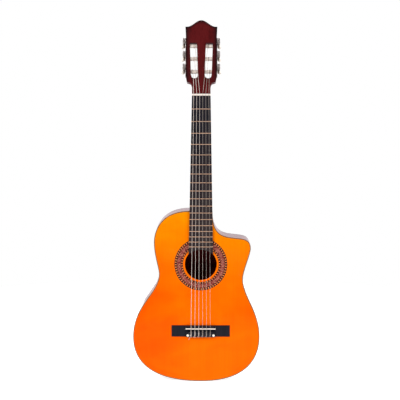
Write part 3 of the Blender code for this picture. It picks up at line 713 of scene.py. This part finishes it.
def flat_plate(name, loops, thickness, edge, place, shader, *nodes):
    """A plate cut to outlines in its own plane, with rounded edges; place moves it there."""
    curve = bpy.data.curves.new(name, "CURVE")
    curve.dimensions = "2D"
    curve.fill_mode = "BOTH"
    curve.extrude = thickness / 2 - edge
    curve.bevel_depth = edge
    curve.bevel_resolution = 2
    curve.offset = -edge
    for loop in loops:
        spline = curve.splines.new("POLY")
        spline.points.add(len(loop) - 1)
        for point, (a, b) in zip(spline.points, loop):
            point.co = (a, b, 0.0, 1.0)
        spline.use_cyclic_u = True
    shape = bpy.data.objects.new(name, curve)
    mesh = bpy.data.meshes.new_from_object(shape)
    bpy.data.objects.remove(shape)
    bpy.data.curves.remove(curve)
    bm = bmesh.new()
    bm.from_mesh(mesh)
    bpy.data.meshes.remove(mesh)
    bm.transform(place)
    add(name, bm, shader, 35.0, *nodes)


def body_place(y):
    """From (across, up, out of the soundboard) to space, for a plate centred at depth y."""
    return Matrix.Translation((0.0, y, 0.0)) @ Matrix.Rotation(radians(90.0), 4, "X")


def placed(axes, origin):
    place = Matrix(axes).transposed().to_4x4()
    place.translation = origin
    return place


def head_place(w):
    """From (across, up the headstock, out of its face) to space."""
    return placed((ACROSS, HEAD_UP, HEAD_NORMAL), head_point(0.0, 0.0, w))


def side_place(x):
    """From (up the headstock, out of its face, sideways) to space, for a machine's plate."""
    return placed((HEAD_UP, HEAD_NORMAL, ACROSS), head_point(x, 0.0, 0.0))


def head_point(x, u, w):
    return HEAD_ORIGIN + HEAD_UP * u + HEAD_NORMAL * w + Vector((x, 0.0, 0.0))


def arc(centre, radius, start, end, steps):
    turns = [radians(start + (end - start) * k / steps) for k in range(steps + 1)]
    return [(centre[0] + radius * cos(a), centre[1] + radius * sin(a)) for a in turns]


def circle(centre, radius, steps):
    return arc(centre, radius, 0, 360, steps)[:-1]


def rounded_box(low, high, radius):
    """The outline of a rectangle with round corners."""
    points = []
    (left, floor), (right, top) = low, high
    for a, b, start in ((right, floor, 270), (right, top, 0), (left, top, 90), (left, floor, 180)):
        centre = (a + (radius if a == left else -radius), b + (radius if b == floor else -radius))
        points.extend(arc(centre, radius, start, start + 90, 5))
    return points


def softened(node, edge, shader):
    """A copy of a solid with its edges rounded over."""
    bm = bmesh.new()
    bm.from_mesh(NODES[node].data)
    bmesh.ops.remove_doubles(bm, verts=bm.verts, dist=1e-6)
    bmesh.ops.dissolve_limit(
        bm, angle_limit=radians(1.0), verts=bm.verts[:], edges=bm.edges[:]
    )
    piece = link_mesh(f"{node}_finished", bm, shader, 40.0)
    bevel = piece.modifiers.new("edges", "BEVEL")
    bevel.width = edge
    bevel.segments = 2
    bevel.limit_method = "ANGLE"
    bevel.angle_limit = radians(38.0)
    bevel.use_clamp_overlap = True
    fit(piece, shader, node)


# ---- body
def edge_segment(start, end, start_pull, end_pull):
    first = Vector(start[:2])
    last = Vector(end[:2])
    chord = (last - first).length
    leave = first + Vector(start[2:]).normalized() * chord * start_pull
    arrive = last - Vector(end[2:]).normalized() * chord * end_pull
    points = []
    for i in range(CURVE_STEPS):
        t = i / CURVE_STEPS
        s = 1.0 - t
        points.append(first * s**3 + leave * 3 * s * s * t + arrive * 3 * s * t * t + last * t**3)
    return points


def edge_curve(segments):
    points = []
    for segment in segments:
        points.extend(edge_segment(*segment))
    points.append(Vector(segments[-1][1][:2]))
    return points


def whole_edge():
    """The open edge from the bass neck joint round the tail to the treble one."""
    return list(reversed(edge_curve(BASS_EDGE))) + edge_curve(TREBLE_EDGE)[1:]


def inset(points, distance):
    """Moves an open edge line inwards; the body lies on its left."""
    moved = []
    for i, point in enumerate(points):
        along = (points[min(i + 1, len(points) - 1)] - points[max(i - 1, 0)]).normalized()
        moved.append(point + Vector((-along.y, along.x)) * distance)
    return moved


def ribbon(points, section):
    """A strip along the body's edge; section holds (inset, depth y) corners."""
    lines = [inset(points, near) for near, _ in section]
    rings = []
    for k in range(len(points)):
        rings.append([Vector((line[k].x, y, line[k].y)) for line, (_, y) in zip(lines, section)])
    return skin(rings)


def make_body(finish):
    outline = [(p.x, p.y) for p in inset(whole_edge(), BINDING_W + GLUE)]
    hole = circle((0.0, HOLE_Z), HOLE_RADIUS, 120)
    front = body_place(PLATE_T / 2)
    lacquer = finish["orange_lacquer"]
    flat_plate(
        "soundboard_panel", (outline, hole), PLATE_T, 0.0003, front, lacquer, "soundboard"
    )
    rear = body_place(BODY_DEPTH - PLATE_T / 2)
    wood = finish["back_wood"]
    flat_plate("back_panel", (outline,), PLATE_T, 0.0003, rear, wood, "back_plate")
    make_rims(finish["red_brown_lacquer"])
    make_bindings(finish)
    make_rosette(finish["rosette_mosaic"])


def make_rims(lacquer):
    bass = list(reversed(edge_curve(BASS_EDGE)))
    treble = edge_curve(TREBLE_EDGE)
    bass[-1] = Vector((-SEAM, bass[-1].y))
    treble[0] = Vector((SEAM, treble[0].y))
    front = BINDING_H + GLUE
    back = BODY_DEPTH - front
    section = ((0.0, front), (SIDE_T, front), (SIDE_T, back), (0.0, back))
    for side, line in (("bass", bass), ("treble", treble)):
        add(f"rim_{side}", ribbon(line, section), lacquer, 35.0, f"side_{side}")


def make_bindings(finish):
    edge = whole_edge()
    soft = 0.0007
    rows = (
        # painted light: the front binding is a lit, lighter copy of the dark binding used at the
        # back
        ("front_binding", "top_binding", 0.0, 1.0, "lit_binding"),
        ("rear_binding", "back_binding", BODY_DEPTH, -1.0, "dark_binding"),
    )
    for name, node, face, inward, tone in rows:
        corner = [
            (soft * (1.0 - sin(a)), face + inward * soft * (1.0 - cos(a)))
            for a in (pi * k / 8 for k in range(5))
        ]
        inner = face + inward * BINDING_H
        section = [(0.0, inner), *reversed(corner), (BINDING_W, face), (BINDING_W, inner)]
        add(name, ribbon(edge, section), finish[tone], 35.0, node)


def make_rosette(mosaic):
    rings = [circle((0.0, HOLE_Z), r, 160) for r in (ROSETTE_OUTER, ROSETTE_INNER)]
    place = body_place(ROSETTE_T / 2 - 0.00003)
    flat_plate("rosette_inlay", rings, ROSETTE_T, 0.00003, place, mosaic, "rosette")


# ---- fingerboard
def board_half_width(z):
    return 0.5 * (BOARD_W_NUT + BOARD_TAPER * (NUT_Z - z))


def fret_position(number):
    return NUT_Z - SCALE_LENGTH * (1.0 - 2.0 ** (-number / 12))


def make_fingerboard(finish):
    centre_z = BOARD_ARCH_Z - BOARD_ARCH_R
    corner_half = board_half_width(BOARD_ARCH_Z - 0.012)
    reach = degrees(asin(corner_half / BOARD_ARCH_R))
    arch = arc((0.0, centre_z), BOARD_ARCH_R, 90 + reach, 90 - reach, 24)
    half = BOARD_W_NUT / 2
    loop = arch + [(half, NUT_Z - GLUE), (-half, NUT_Z - GLUE)]
    thick = BOARD_T - GLUE
    place = body_place(-GLUE - thick / 2)
    wood = finish["fretboard_wood"]
    flat_plate("fretboard", (loop,), thick, 0.0005, place, wood, "fingerboard")
    for number in range(1, FRET_COUNT + 1):
        shape = fret_wire(fret_position(number))
        add(f"fret_{number:02d}", shape, finish["fret_metal"], 50.0)


def fret_wire(z):
    """A crowned wire across the board, its ends filed to a slope."""
    half = board_half_width(z) - 0.0002
    stations = ((-half, 0.55), (-half + 0.0007, 0.92), (-half + 0.0015, 1.0))
    stations += tuple((-x, size) for x, size in reversed(stations))

    def crown(size):
        turns = [pi * k / 10 for k in range(11)]
        foot = 0.0002 - BOARD_T
        return [
            (foot - (FRET_H + 0.0002) * sin(a) * size, z + FRET_HALF_FOOT * cos(a))
            for a in turns
        ]

    return bar(stations, crown)


# ---- nut, saddle and bridge
def make_nut(bone):
    """A bone-like bar with a notch for each string."""
    low = NUT_Z
    high = NUT_Z + NUT_THICKNESS - GLUE
    half = BOARD_W_NUT / 2
    stations = [(-half, 0.0005), (-half + 0.0006, 0.0)]
    for number in range(STRING_COUNT, 0, -1):
        x = string_x(number, NUT_PITCH)
        radius = string_radius(number) + 0.00015
        depth = STRING_Y_NUT + string_radius(number) - NUT_TOP_Y
        stations.extend((x + radius * side, depth * sink) for side, sink in NOTCH)
    stations += [(half - 0.0006, 0.0), (half, 0.0005)]

    def section(sink):
        top = NUT_TOP_Y + sink
        return (
            (-GLUE, low), (top + 0.0012, low), (top + 0.0003, low + 0.0004), (top, low + 0.0012),
            (top, high - 0.0016), (top + 0.0004, high - 0.0006), (top + 0.0014, high),
            (-GLUE, high),
        )

    add("nut_bar", bar(stations, section), bone, 30.0, "nut")


def make_saddle(bone):
    half = SADDLE_T / 2
    ends = ((0.0, 0.0011), (0.0004, 0.0005), (0.0012, 0.0001), (0.0030, 0.0))
    stations = [(-SADDLE_HALF + step, drop) for step, drop in ends]
    stations += [(-x, drop) for x, drop in reversed(stations)]

    def section(drop):
        top = [(SADDLE_FOOT_Y, SADDLE_Z - half)]
        for k in range(9):
            angle = pi * k / 8
            y = SADDLE_TOP_Y + drop + 0.0011 * (1.0 - sin(angle))
            top.append((y, SADDLE_Z - half * cos(angle)))
        return top + [(SADDLE_FOOT_Y, SADDLE_Z + half)]

    add("saddle_bar", bar(stations, section), bone, 50.0, "saddle")


def shoulder(distance, radius):
    """A quarter round from 0 at an edge to 1 at a radius inside it."""
    share = max(0.0, min(1.0, distance / radius))
    return sqrt(1.0 - (1.0 - share) ** 2)


def bridge_height(x, z):
    """How far the bridge stands off the soundboard."""
    side = abs(x)
    wing = WING_H * (1.0 - 0.22 * (side / WING_HALF) ** 3)
    low, high = WING_Z
    height = wing * shoulder(WING_HALF - side, 0.0020) * shoulder(min(z - low, high - z), 0.0010)
    reach = min(z - TROUGH_Z, high - 0.0004 - z)
    mount = shoulder(BLOCK_HALF - side, 0.0009) * shoulder(reach, 0.0007)
    tie = shoulder(TIE_HALF - side, 0.0009) * shoulder(min(z - TIE_Z[0], TIE_Z[1] - z), 0.0008)
    return max(height, -BLOCK_TOP_Y * mount, -TIE_TOP_Y * tie)


def stations_near(low, high, edges, radius, plain):
    """Places from low to high, close together where an edge is rounded."""
    places = [low + (high - low) * k / plain for k in range(plain + 1)]
    for edge in edges:
        for share in (0.0, 0.06, 0.2, 0.45, 0.75, 1.0):
            places.extend((edge - share * radius, edge + share * radius))
    places = sorted(p for p in places if low <= p <= high)
    kept = [places[0]]
    for place in places[1:]:
        if place - kept[-1] > 0.00002:
            kept.append(place)
    return kept


def make_bridge(finish):
    low = TIE_Z[0]
    high = WING_Z[1]
    x_edges = [side * edge for side in (-1, 1) for edge in (WING_HALF, BLOCK_HALF, TIE_HALF)]
    columns = stations_near(-WING_HALF, WING_HALF, x_edges, 0.0020, 40)
    z_edges = (low, WING_Z[0], TIE_Z[1], TROUGH_Z, high - 0.0004, high)
    rows = stations_near(low, high, z_edges, 0.0010, 20)
    bm = bmesh.new()
    grid = [[bm.verts.new((x, -bridge_height(x, z) - 0.00002, z)) for z in rows] for x in columns]
    for near, far in zip(grid, grid[1:]):
        for k in range(len(rows) - 1):
            bm.faces.new((near[k], far[k], far[k + 1], near[k + 1]))
    add("bridge_body", bm, finish["bridge_wood"], 30.0, "bridge")
    for node, side in (("pearl_cap_bass", -1), ("pearl_cap_treble", 1)):
        base = Vector((side * CAP_X, TIE_TOP_Y + 0.0002, CAP_Z))
        depth = CAP_T + 0.0003
        profile = [(0.0, CAP_RADIUS), (depth * 0.45, CAP_RADIUS)]
        for k in range(1, 7):
            angle = pi / 2 * k / 6
            across = CAP_RADIUS * cos(angle) ** 0.7 + 0.00002
            profile.append((depth * (0.45 + 0.55 * sin(angle)), across))
        dot = turned(base, Vector((0.0, -1.0, 0.0)), profile, 36)
        add(f"{node}_disc", dot, finish["pearl_plastic"], 60.0, node)


# ---- strings
def string_side(number):
    return 1 if number <= STRING_COUNT // 2 else -1


def string_rank(number):
    """0 for the outer string of a side, 2 for the one next to the centre."""
    return number - 1 if number <= STRING_COUNT // 2 else STRING_COUNT - number


def string_x(number, pitch):
    return ((STRING_COUNT + 1) / 2 - number) * pitch


def string_radius(number):
    share = (number - 1) / (STRING_COUNT - 1)
    return TREBLE_STRING_RADIUS + (BASS_STRING_RADIUS - TREBLE_STRING_RADIUS) * share


def string_route(number):
    """From its roller over the nut and saddle to the tie block."""
    rank = string_rank(number)
    radius = string_radius(number)
    lane = string_side(number) * STRING_LANES[rank]
    nut_x = string_x(number, NUT_PITCH)
    x = string_x(number, SADDLE_PITCH)
    route = [
        head_point(lane, ROLLER_US[rank], ROLLER_W + ROLLER_RADIUS + radius),
        Vector((nut_x, STRING_Y_NUT + 0.0001, NUT_Z + 0.0040)),
        Vector((nut_x, STRING_Y_NUT, NUT_Z + 0.0006)),
        Vector((x, STRING_Y_SADDLE + 0.0008, SADDLE_Z + 0.0006)),
        Vector((x, STRING_Y_SADDLE + 0.0009, SADDLE_Z - 0.0004)),
    ]
    return route + tie_knot(number, x, radius)


def tie_knot(number, x, radius):
    """Through the tie block, back over it, round the string and tucked beside it."""
    top = TIE_TOP_Y - radius
    low, high = TIE_Z
    gap = radius + 0.0005
    points = [
        (x, TIE_HOLE_Y - 0.0006, high + 0.0008),
        (x, TIE_HOLE_Y, high - 0.0010),
        (x, TIE_HOLE_Y, low + 0.0006),
        (x, TIE_HOLE_Y - 0.0003, low - radius - 0.0001),
        (x + gap * 0.2, top + 0.0016, low - radius - 0.0001),
        (x + gap * 0.4, top, low + 0.0012),
        (x + gap, top, high - 0.0012),
        (x + gap * 1.2, top + 0.0030, high + radius + 0.0002),
        (x, TIE_HOLE_Y + 0.0011, high + radius + 0.0008),
        (x - gap * 1.3, top + 0.0024, high + radius + 0.0002),
        (x - gap, top - 0.0001, high - 0.0012),
        (x - gap * 0.6, top - radius, (low + high) / 2),
        (x - gap * 2.2, top, low + 0.0016),
    ]
    if number == STRING_COUNT:
        points.append((x - 0.0036, top + 0.0020, low - 0.0012))
        points.append((x - 0.0064, top + 0.0044, low - 0.0072))
    else:
        points.append((x - gap * 4.5, top + 0.0004, low + 0.0010))
    return [Vector(point) for point in points]


def make_strings(finish):
    for number in range(1, STRING_COUNT + 1):
        shader = finish["wound_silver" if string_side(number) < 0 else "clear_nylon"]
        route = string_route(number)
        path = route[:3] + smooth_path(route[3:], 7)
        shape = tube(path, string_radius(number))
        add(f"strand_{number}", shape, shader, 60.0, f"string_{number}")
        add(f"coil_{number}", string_coil(number), shader, 60.0, body=f"roller_{number}")


def string_coil(number):
    """The turns round the roller, tight against each other and lapped over at the start."""
    rank = string_rank(number)
    side = string_side(number)
    radius = string_radius(number)
    turns = WINDING_TURNS[rank]
    wrap = ROLLER_RADIUS + radius
    steps = 22
    path = []
    for k in range(turns * steps + 1):
        turn = tau * k / steps
        x = side * (STRING_LANES[rank] - radius + 2.05 * radius * k / steps)
        centre = head_point(x, ROLLER_US[rank], ROLLER_W)
        path.append(centre + (HEAD_NORMAL * cos(turn) - HEAD_UP * sin(turn)) * wrap)
    return tube(path, radius, 8)


# ---- headstock and machines
def machines():
    """Each machine's string number, side and place up the headstock."""
    numbers = range(1, STRING_COUNT + 1)
    return [(n, string_side(n), ROLLER_US[string_rank(n)]) for n in numbers]


def make_head(finish):
    softened("headplate", 0.0005, finish["head_veneer"])
    softened("neck", 0.0008, finish["neck_wood"])
    softened("heel_cap", 0.0006, finish["dark_binding"])


def make_posts(ivory_plastic):
    """Each roller: an ivory barrel and the thin journal that reaches into its wheel."""
    for number, side, u in machines():
        outward = Vector((float(side), 0.0, 0.0))
        base = head_point(side * ROLLER_INNER_X, u, ROLLER_W)
        length = ROLLER_END_X - ROLLER_INNER_X
        reach = GEAR_X[1] - 0.0006 - ROLLER_INNER_X
        edge = 0.0005
        profile = (
            (0.0, 0.0008), (0.0, ROLLER_RADIUS - edge), (edge * 0.3, ROLLER_RADIUS - edge * 0.3),
            (edge, ROLLER_RADIUS), (length - edge, ROLLER_RADIUS),
            (length - edge * 0.3, ROLLER_RADIUS - edge * 0.3), (length, ROLLER_RADIUS - edge),
            (length, JOURNAL_RADIUS), (reach, JOURNAL_RADIUS), (reach, 0.0004),
        )
        shape = turned(base, outward, profile, 44)
        roller = f"roller_{number}"
        add(f"post_{number}", shape, ivory_plastic, 30.0, roller, body=roller)


def gear_wheel(side, u):
    """A wheel with rounded teeth and chamfered faces."""
    outward = Vector((float(side), 0.0, 0.0))
    width = GEAR_X[1] - GEAR_X[0]
    round_it = spokes(HEAD_NORMAL, HEAD_UP, GEAR_TEETH * 8)
    profile = ((0.0, 0.90), (0.0003, 1.0), (width - 0.0003, 1.0), (width, 0.90))
    rings = []
    for along, size in profile:
        centre = head_point(side * (GEAR_X[0] + along), u, ROLLER_W)
        ring = []
        for turn, spoke in round_it:
            tooth = 0.5 + 0.5 * tanh(2.4 * cos(GEAR_TEETH * turn)) / tanh(2.4)
            ring.append(centre + spoke * (GEAR_RADIUS * size - 0.0010 * (1.0 - tooth)))
        rings.append(ring)
    hub = head_point(side * GEAR_X[0], u, ROLLER_W)
    for along, radius in ((width, 0.0030), (width - 0.0004, 0.0028), (width - 0.0004, 0.0005)):
        rings.append([hub + outward * along + spoke * radius for _, spoke in round_it])
    return skin(rings)


def screw_mesh():
    """A domed slotted screw head on the +X axis, of radius 1 and height 0.45."""
    bm = bmesh.new()
    slot = 0.13
    rings = 7
    steps = 14
    for side in (-1, 1):
        rows = []
        for r in range(rings + 1):
            reach = max(slot * 1.02, cos(pi / 2 * r / rings) ** 0.8)
            height = 0.12 + 0.33 * sin(pi / 2 * r / rings)
            limit = asin(min(1.0, slot / reach))
            row = []
            for k in range(steps + 1):
                turn = limit + (pi - 2 * limit) * k / steps
                across = reach * cos(turn)
                row.append(bm.verts.new((height, across, side * reach * sin(turn))))
            rows.append(row)
        floor = [bm.verts.new((0.0, v.co.y, v.co.z)) for v in rows[0]]
        rows.insert(0, floor)
        for near, far in zip(rows, rows[1:]):
            for k in range(steps):
                bm.faces.new((near[k], near[k + 1], far[k + 1], far[k]))
        bm.faces.new(rows[-1])
        wall = [row[0] for row in rows] + [row[-1] for row in reversed(rows)]
        bm.faces.new(wall)
        bm.faces.new(floor)
    rim = 28
    turns = [tau * k / rim for k in range(rim)]
    bed = [bm.verts.new((0.14, cos(t), sin(t))) for t in turns]
    foot = [bm.verts.new((0.0, v.co.y, v.co.z)) for v in bed]
    for k in range(rim):
        j = (k + 1) % rim
        bm.faces.new((foot[k], foot[j], bed[j], bed[k]))
    bm.faces.new(bed)
    return bm


def screw(name, place, side, radius, turn, shader, body="guitar"):
    bm = screw_mesh()
    swing = Matrix.Rotation(turn, 4, "X")
    flip = Matrix.Rotation(0.0 if side > 0 else pi, 4, "Z")
    bm.transform(Matrix.Translation(place) @ flip @ swing @ Matrix.Scale(radius, 4))
    add(name, bm, shader, 35.0, body=body)


def worm_mesh(side, u):
    """The shaft with a helical thread between its lugs, and its collar.

    The bass side's thread is the mirror image of the treble side's, and a
    crest lies between two teeth of the wheel.
    """
    front = ROLLER_W + LUG_W + 0.0010
    middle = front - ROLLER_W
    base = head_point(side * WORM_X, u + WORM_OFFSET, front)
    axis = -HEAD_NORMAL
    start = front - (ROLLER_W + WORM_HALF)
    end = front - (ROLLER_W - WORM_HALF)
    collar = front - (ROLLER_W - LUG_W - 0.0003)
    last = front - BUTTON_W[0] + 0.0010
    lead = tau * GEAR_RADIUS / GEAR_TEETH
    steps = 24
    round_it = spokes(*side_axes(axis), steps)
    shaft = (
        (0.0, 0.0009), (0.0, SHAFT_RADIUS - 0.0002), (0.0003, SHAFT_RADIUS), (start, SHAFT_RADIUS),
    )
    tail = (
        (end, SHAFT_RADIUS), (collar, SHAFT_RADIUS), (collar, WORM_RADIUS - 0.0003),
        (collar + 0.0003, WORM_RADIUS), (collar + 0.0020, WORM_RADIUS), (collar + 0.0026, 0.0020),
        (last - 0.0022, 0.0019), (last - 0.0012, WORM_RADIUS), (last, WORM_RADIUS),
    )
    count = 64
    rows = [(along, [radius] * steps) for along, radius in shaft]
    for k in range(count + 1):
        along = start + (end - start) * k / count
        rise = (WORM_RADIUS - SHAFT_RADIUS) * min(
            1.0, (along - start) / 0.0008, (end - along) / 0.0008
        )
        phase = tau * (along - middle) / lead
        waves = [0.5 + 0.5 * cos(side * (a - pi / 2) - phase) for a, _ in round_it]
        rows.append((along, [SHAFT_RADIUS + rise * wave for wave in waves]))
    rows += [(along, [radius] * steps) for along, radius in tail]
    rings = []
    for along, radii in rows:
        rings.append([base + axis * along + s * r for (_, s), r in zip(round_it, radii)])
    return skin(rings)


def knob_mesh(side, u):
    """An oval button, flattened front to back."""
    length = BUTTON_W[1] - BUTTON_W[0]
    centre = (side * WORM_X, u + WORM_OFFSET)
    rings = []
    count = 22
    for k in range(count + 1):
        t = k / count
        wide = (max(0.0, 1.0 - (2.0 * t - 1.06) ** 2 * 0.72)) ** 0.55
        neck = 0.34 + 0.66 * min(1.0, t / 0.30) ** 0.8
        end = sqrt(max(0.0, 1.0 - max(0.0, (t - 0.86) / 0.14) ** 2))
        across = max(0.02, wide * neck * max(end, 0.05))
        thick = max(0.02, (0.78 + 0.22 * sin(pi * t)) * max(end, 0.06))
        rings.append(oval(centre, side, BUTTON_W[0] + length * t, across, thick))
    return skin(rings)


def oval(centre, side, w, across, thick):
    """One slice of a button, its outer end turned towards the nut."""
    ring = []
    level = cos(BUTTON_TURN)
    down = side * sin(BUTTON_TURN)
    for k in range(32):
        turn = tau * k / 32
        c = cos(turn)
        s = sin(turn)
        long = BUTTON_HALF_X * across * copysign(abs(c) ** 0.85, c)
        short = BUTTON_HALF_U * thick * copysign(abs(s) ** 0.75, s)
        x = centre[0] + long * level + short * down
        u = centre[1] - long * down + short * level
        ring.append(head_point(x, u, w))
    return ring


def make_machines(finish):
    nickel = finish["nickel_plate"]
    pearly = finish["pearl_plastic"]
    for number, side, u in machines():
        roller, button = f"roller_{number}", f"button_{number}"
        wheel = gear_wheel(side, u)
        add(f"wheel_{number}", wheel, finish["brass"], 28.0, f"gear_{number}", body=roller)
        hub = head_point(side * (GEAR_X[1] - 0.0005), u, ROLLER_W)
        screw(f"wheel_screw_{number}", hub, side, 0.0024, 0.6 + number, nickel, roller)
        add(f"worm_{number}", worm_mesh(side, u), nickel, 40.0, button, body=button)
        add(f"knob_{number}", knob_mesh(side, u), pearly, 60.0, button, body=button)
        make_lugs(number, side, u, finish["lug_nickel"])
    for node, side in (("tuner_plate_bass", -1), ("tuner_plate_treble", 1)):
        make_machine_plate(node, side, nickel)


def make_lugs(number, side, u, nickel):
    """The two ears that hold a worm's shaft, front and back."""
    near = side * (PLATE_X[0] + 0.0003)
    far = side * LUG_END_X
    low = (min(near, far), u + WORM_OFFSET - LUG_HALF_U + 0.0012)
    high = (max(near, far), u + WORM_OFFSET + LUG_HALF_U)
    outline = rounded_box(low, high, 0.0016)
    bore = circle((side * WORM_X, u + WORM_OFFSET), SHAFT_RADIUS + 0.0002, 24)
    for name, face in (("front", 1), ("back", -1)):
        place = head_place(ROLLER_W + face * (LUG_W - LUG_T / 2))
        flat_plate(f"lug_{name}_{number}", (outline, bore), LUG_T, 0.0002, place, nickel)


def make_machine_plate(node, side, nickel):
    """One long plate with lobed ends, its posts and their screws."""
    low, high = PLATE_U
    waist = PLATE_HALF_W - 0.0016
    lobe = 0.0034
    outline = []
    for end, start in ((high, -90), (low, 90)):
        inward = 1 if end == low else -1
        centre = (end + inward * lobe, ROLLER_W)
        outline.extend(arc(centre, lobe, start, start + 180, 12))
        first = end + inward * 0.0072
        rows = (
            (0.0, PLATE_HALF_W * 0.62), (0.0004, PLATE_HALF_W), (0.0300, PLATE_HALF_W),
            (0.0330, waist), (0.0420, waist), (0.0450, PLATE_HALF_W),
        )
        outline.extend((first + inward * d, ROLLER_W - inward * w) for d, w in rows)
    holes = [circle((u, ROLLER_W), 0.0023, 24) for u in ROLLER_US]
    place = side_place(side * (PLATE_X[0] + PLATE_X[1]) / 2)
    thick = PLATE_X[1] - PLATE_X[0]
    loops = [outline] + holes
    flat_plate(f"{node}_finished", loops, thick, 0.0003, place, nickel, node)
    outward = Vector((float(side), 0.0, 0.0))
    pitch = ROLLER_US[1] - ROLLER_US[0]
    name = node.replace("tuner_plate_", "")
    for k, u in enumerate(ROLLER_US):
        base = head_point(side * PLATE_X[1], u + pitch / 2, ROLLER_W + 0.003)
        reach = BOSS_END_X - PLATE_X[1] - 0.0012
        r = BOSS_RADIUS * 1.35
        profile = (
            (-0.0002, r * 0.95), (0.0008, r * 0.95), (0.0014, r * 0.84), (reach * 0.55, r * 0.80),
            (reach - 0.0020, r * 0.86), (reach - 0.0012, r), (reach, r), (reach, r * 0.1),
        )
        shape = turned(base, outward, profile, 28)
        add(f"plate_post_{name}_{k + 1}", shape, nickel, 35.0)
        tip = base + outward * reach
        screw(f"plate_screw_{name}_{k + 1}", tip, side, r * 0.95, 0.5 + 1.1 * k, nickel)


# ---- the whole picture
def make_finishes():
    """A finish for each CAD material slot, and for the few surfaces that differ from it."""
    shaders = (
        orange_lacquer(),
        stained_mahogany("red_brown_lacquer", 1.0),
        stained_mahogany("head_veneer", 0.0, edge_burst, base=VENEER, light=VENEER_LIGHT),
        stained_mahogany("back_wood", 1.0, inside_face, (0.10, 0.008, 0.006)),
        stained_mahogany("neck_wood", 0.7, slot_walls, (0.075, 0.006, 0.007)),
        shade_darkened_spruce(),
        black_hardwood("black_hardwood", 0.42, (0.020, 0.018, 0.022)),
        # the fretboard's last colour is its painted sheen
        black_hardwood("fretboard_wood", 0.48, (0.009, 0.008, 0.013), (0.036, 0.024, 0.023)),
        black_hardwood("bridge_wood", 0.45, (0.009, 0.009, 0.015)),
        binding_plastic("dark_binding", (0.045, 0.018, 0.010)),
        # painted light: a lit copy of dark_binding, for the front edge
        binding_plastic("lit_binding", (0.22, 0.095, 0.016)),
        rosette_mosaic(),
        ivory(),
        pearl(),
        nylon(),
        winding_metal(),
        metal("nickel_plate", (0.50, 0.46, 0.45), 0.30),
        metal("fret_metal", (0.86, 0.53, 0.35), 0.30),
        metal("brass", (0.24, 0.19, 0.15), 0.38),
        metal("lug_nickel", (0.40, 0.35, 0.32), 0.34, 0.72),
    )
    return {shader.name: shader for shader in shaders}


def dress_frame(finish):
    for part in frame["record"]["subparts"]:
        dress(part["node"], finish[part["material_slot"]])
    dress("neck_block", finish["red_brown_lacquer"])


def make_object():
    finish = make_finishes()
    dress_frame(finish)
    make_body(finish)
    make_fingerboard(finish)
    make_nut(finish["ivory_plastic"])
    make_saddle(finish["ivory_plastic"])
    make_bridge(finish)
    make_strings(finish)
    make_head(finish)
    make_posts(finish["ivory_plastic"])
    make_machines(finish)


bpy.context.scene.view_settings.view_transform = "Standard"
set_camera()
set_world()
set_floor()
set_lights()
make_object()
